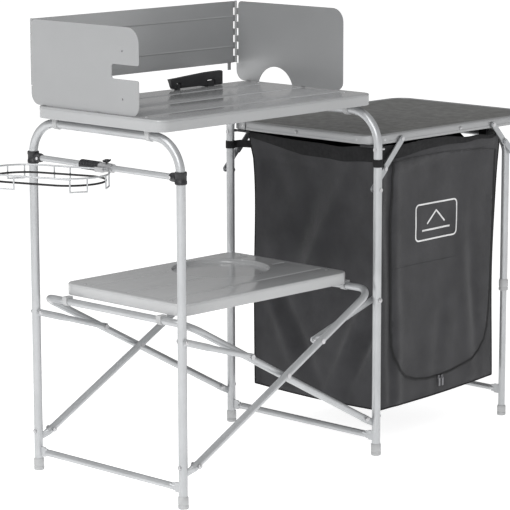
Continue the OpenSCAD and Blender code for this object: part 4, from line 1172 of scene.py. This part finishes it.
def cupboard_edges():
    """Black hem bands along the top, partly binding and partly painted shade under the rail, deepest at the front
    left corner; piping down the corners and round the floor.
    """
    # each wall's band depth in mm at its start and end: a black hem deepened into painted shade under the rail
    hem_and_shade_depths = ((36, 5), (22, 22), (22, 22), (12, 34))
    for i, label in enumerate(("front", "right", "back", "left")):
        start, end = hem_and_shade_depths[i]
        n = WALL_OUT[i] * MM
        rings = []
        for u in np.linspace(0, 1, 61):
            depth = start + (end - start) * (u if i == 0 else min(1, u / 0.4))
            top, low = wall_point(i, u, 0.999, 0.7 * MM), wall_point(i, u, 1 - depth * MM / HEIGHT, 0.8 * MM)
            rings.append([low - n * 0.6, low + n * 0.3, low.lerp(top, 0.1) + n * 0.9,
                          low.lerp(top, 0.9) + n * 0.9, top + n * 0.3 + Vector((0, 0, 0.8 * MM)), top - n * 1.2])
        trim(Shape().rings(rings), "cupboard_hem_" + label, "binding", smooth=50)
    piping = Shape()
    for i in range(4):
        corner = [wall_point(i, 0.0, t) for t in np.linspace(0.002, 0.995, 70)]
        foot = [wall_point(i, u, 0.003) for u in np.linspace(0, 1, 50)]
        piping.rings(sweep(corner, 2.0 * MM, 8, up=(1, 0, 0))).rings(sweep(foot, 1.8 * MM, 8))
    trim(piping, "cupboard_piping", "binding", smooth=60)


cupboard_edges()


def cupboard_label():
    """Plain upright printed label: a round-cornered border, a bar and a chevron."""
    shape = Shape()
    border = rounded(760, 458, 904, 540, 10, n=6)
    bar = [(782, 480), (882, 480)]
    chevron = [(800, 494), (832, 522), (864, 494)]
    for points, step, width in ((border + border[:1], 6, 3.6), (bar, 6, 4), (chevron, 5, 4)):
        path = spaced(in_metres(points), step * MM)
        shape.rings(strip_on_wall(0, path, width * MM, 2.1 * MM, 0.3 * MM))
    trim(shape, "cupboard_label", "print")


cupboard_label()


def zip_pulls():
    """Sliders with a bridge and a hanging tab, clear of the cloth along their travel."""
    for side, label in ((-1, "left"), (1, "right")):
        low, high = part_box("zip_pull_" + label)
        x, z = (low.x + high.x) / 2, high.z
        y = min(wall_at(0, x + side * d * MM, z - 4 * MM).y for d in range(0, 91, 6)) - 3.4 * MM
        shape = Shape()
        shape.box((x - 3.4 * MM, y - 0.8 * MM, z - 9 * MM), (x + 3.4 * MM, y + 1.4 * MM, z), cut=0.7 * MM)
        bridge = [(x, y - out * MM, z - down * MM)
                  for out, down in ((1.0, 2), (2.4, 4), (2.4, 7), (1.0, 8.4))]
        shape.rings(sweep(bridge, 0.8 * MM, 8, up=(1, 0, 0)))
        shape.box((x - 3.0 * MM, y - 2.6 * MM, z - 25 * MM), (x + 3.0 * MM, y - 1.4 * MM, z - 6.4 * MM),
                  cut=0.5 * MM)
        trim(shape, "zip_slider_" + label, "pull", "zip_" + label, ("zip_pull_" + label,))


zip_pulls()


def straps():
    """Webbing loops round the right legs, with a tail to the cupboard's corner."""
    low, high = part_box("cupboard_straps")
    z, width, r = (low.z + high.z) / 2, 17 * MM, LEG_R + 1.0 * MM
    shape = Shape()
    for y, corner, s in ((LEG_Y0, CY0 + 3 * MM, 1), (LEG_Y1, CY1 - 3 * MM, -1)):
        loop = [(LEG_X1 + a, y + s * b, z) for a, b in arc(0, 0, r, 30, -340, 30)]
        tail = [(LEG_X1 + r * 0.85, y + s * r * 0.55, z), (LEG_X1 + 11 * MM, y + s * 10 * MM, z + MM),
                (LEG_X1 + 15 * MM, y + s * 17 * MM, z + 2 * MM), (CX0 + 4 * MM, corner, z + 2 * MM)]
        end = [(CX0 + 2 * MM, corner - s * 2.0 * MM, z + 2 * MM),
               (CX0 + 24 * MM, corner - s * 3.6 * MM, z + 3 * MM)]
        for path, thick in ((loop, 1.4), (tail, 1.6), (end, 1.4)):
            shape.rings(ribbon(path, width, thick * MM))
    shape.make("cupboard_strap_webbing", "binding", "right_frame", ("cupboard_straps",), smooth=40)


straps()


# ---- floor --------------------------------------------------------------------------

def floor():
    """Plain pale ground just under the feet, lit a little from itself."""
    mesh = bpy.data.meshes.new("floor")
    size, under = 30, -0.5 * MM
    corners = [(-size, -size), (size, -size), (size, size), (-size, size)]
    mesh.from_pydata(at(corners, under), [], [(0, 1, 2, 3)])
    obj = add_object("floor", mesh)
    paint = Paint("floor_paint", (0.7, 0.7, 0.7), 0.9)
    paint.number("Emission Color", (1, 1, 1, 1)).number("Emission Strength", 0.84)
    paint.number("Specular IOR Level", 0.0)
    mesh.materials.append(paint.mat)


floor()
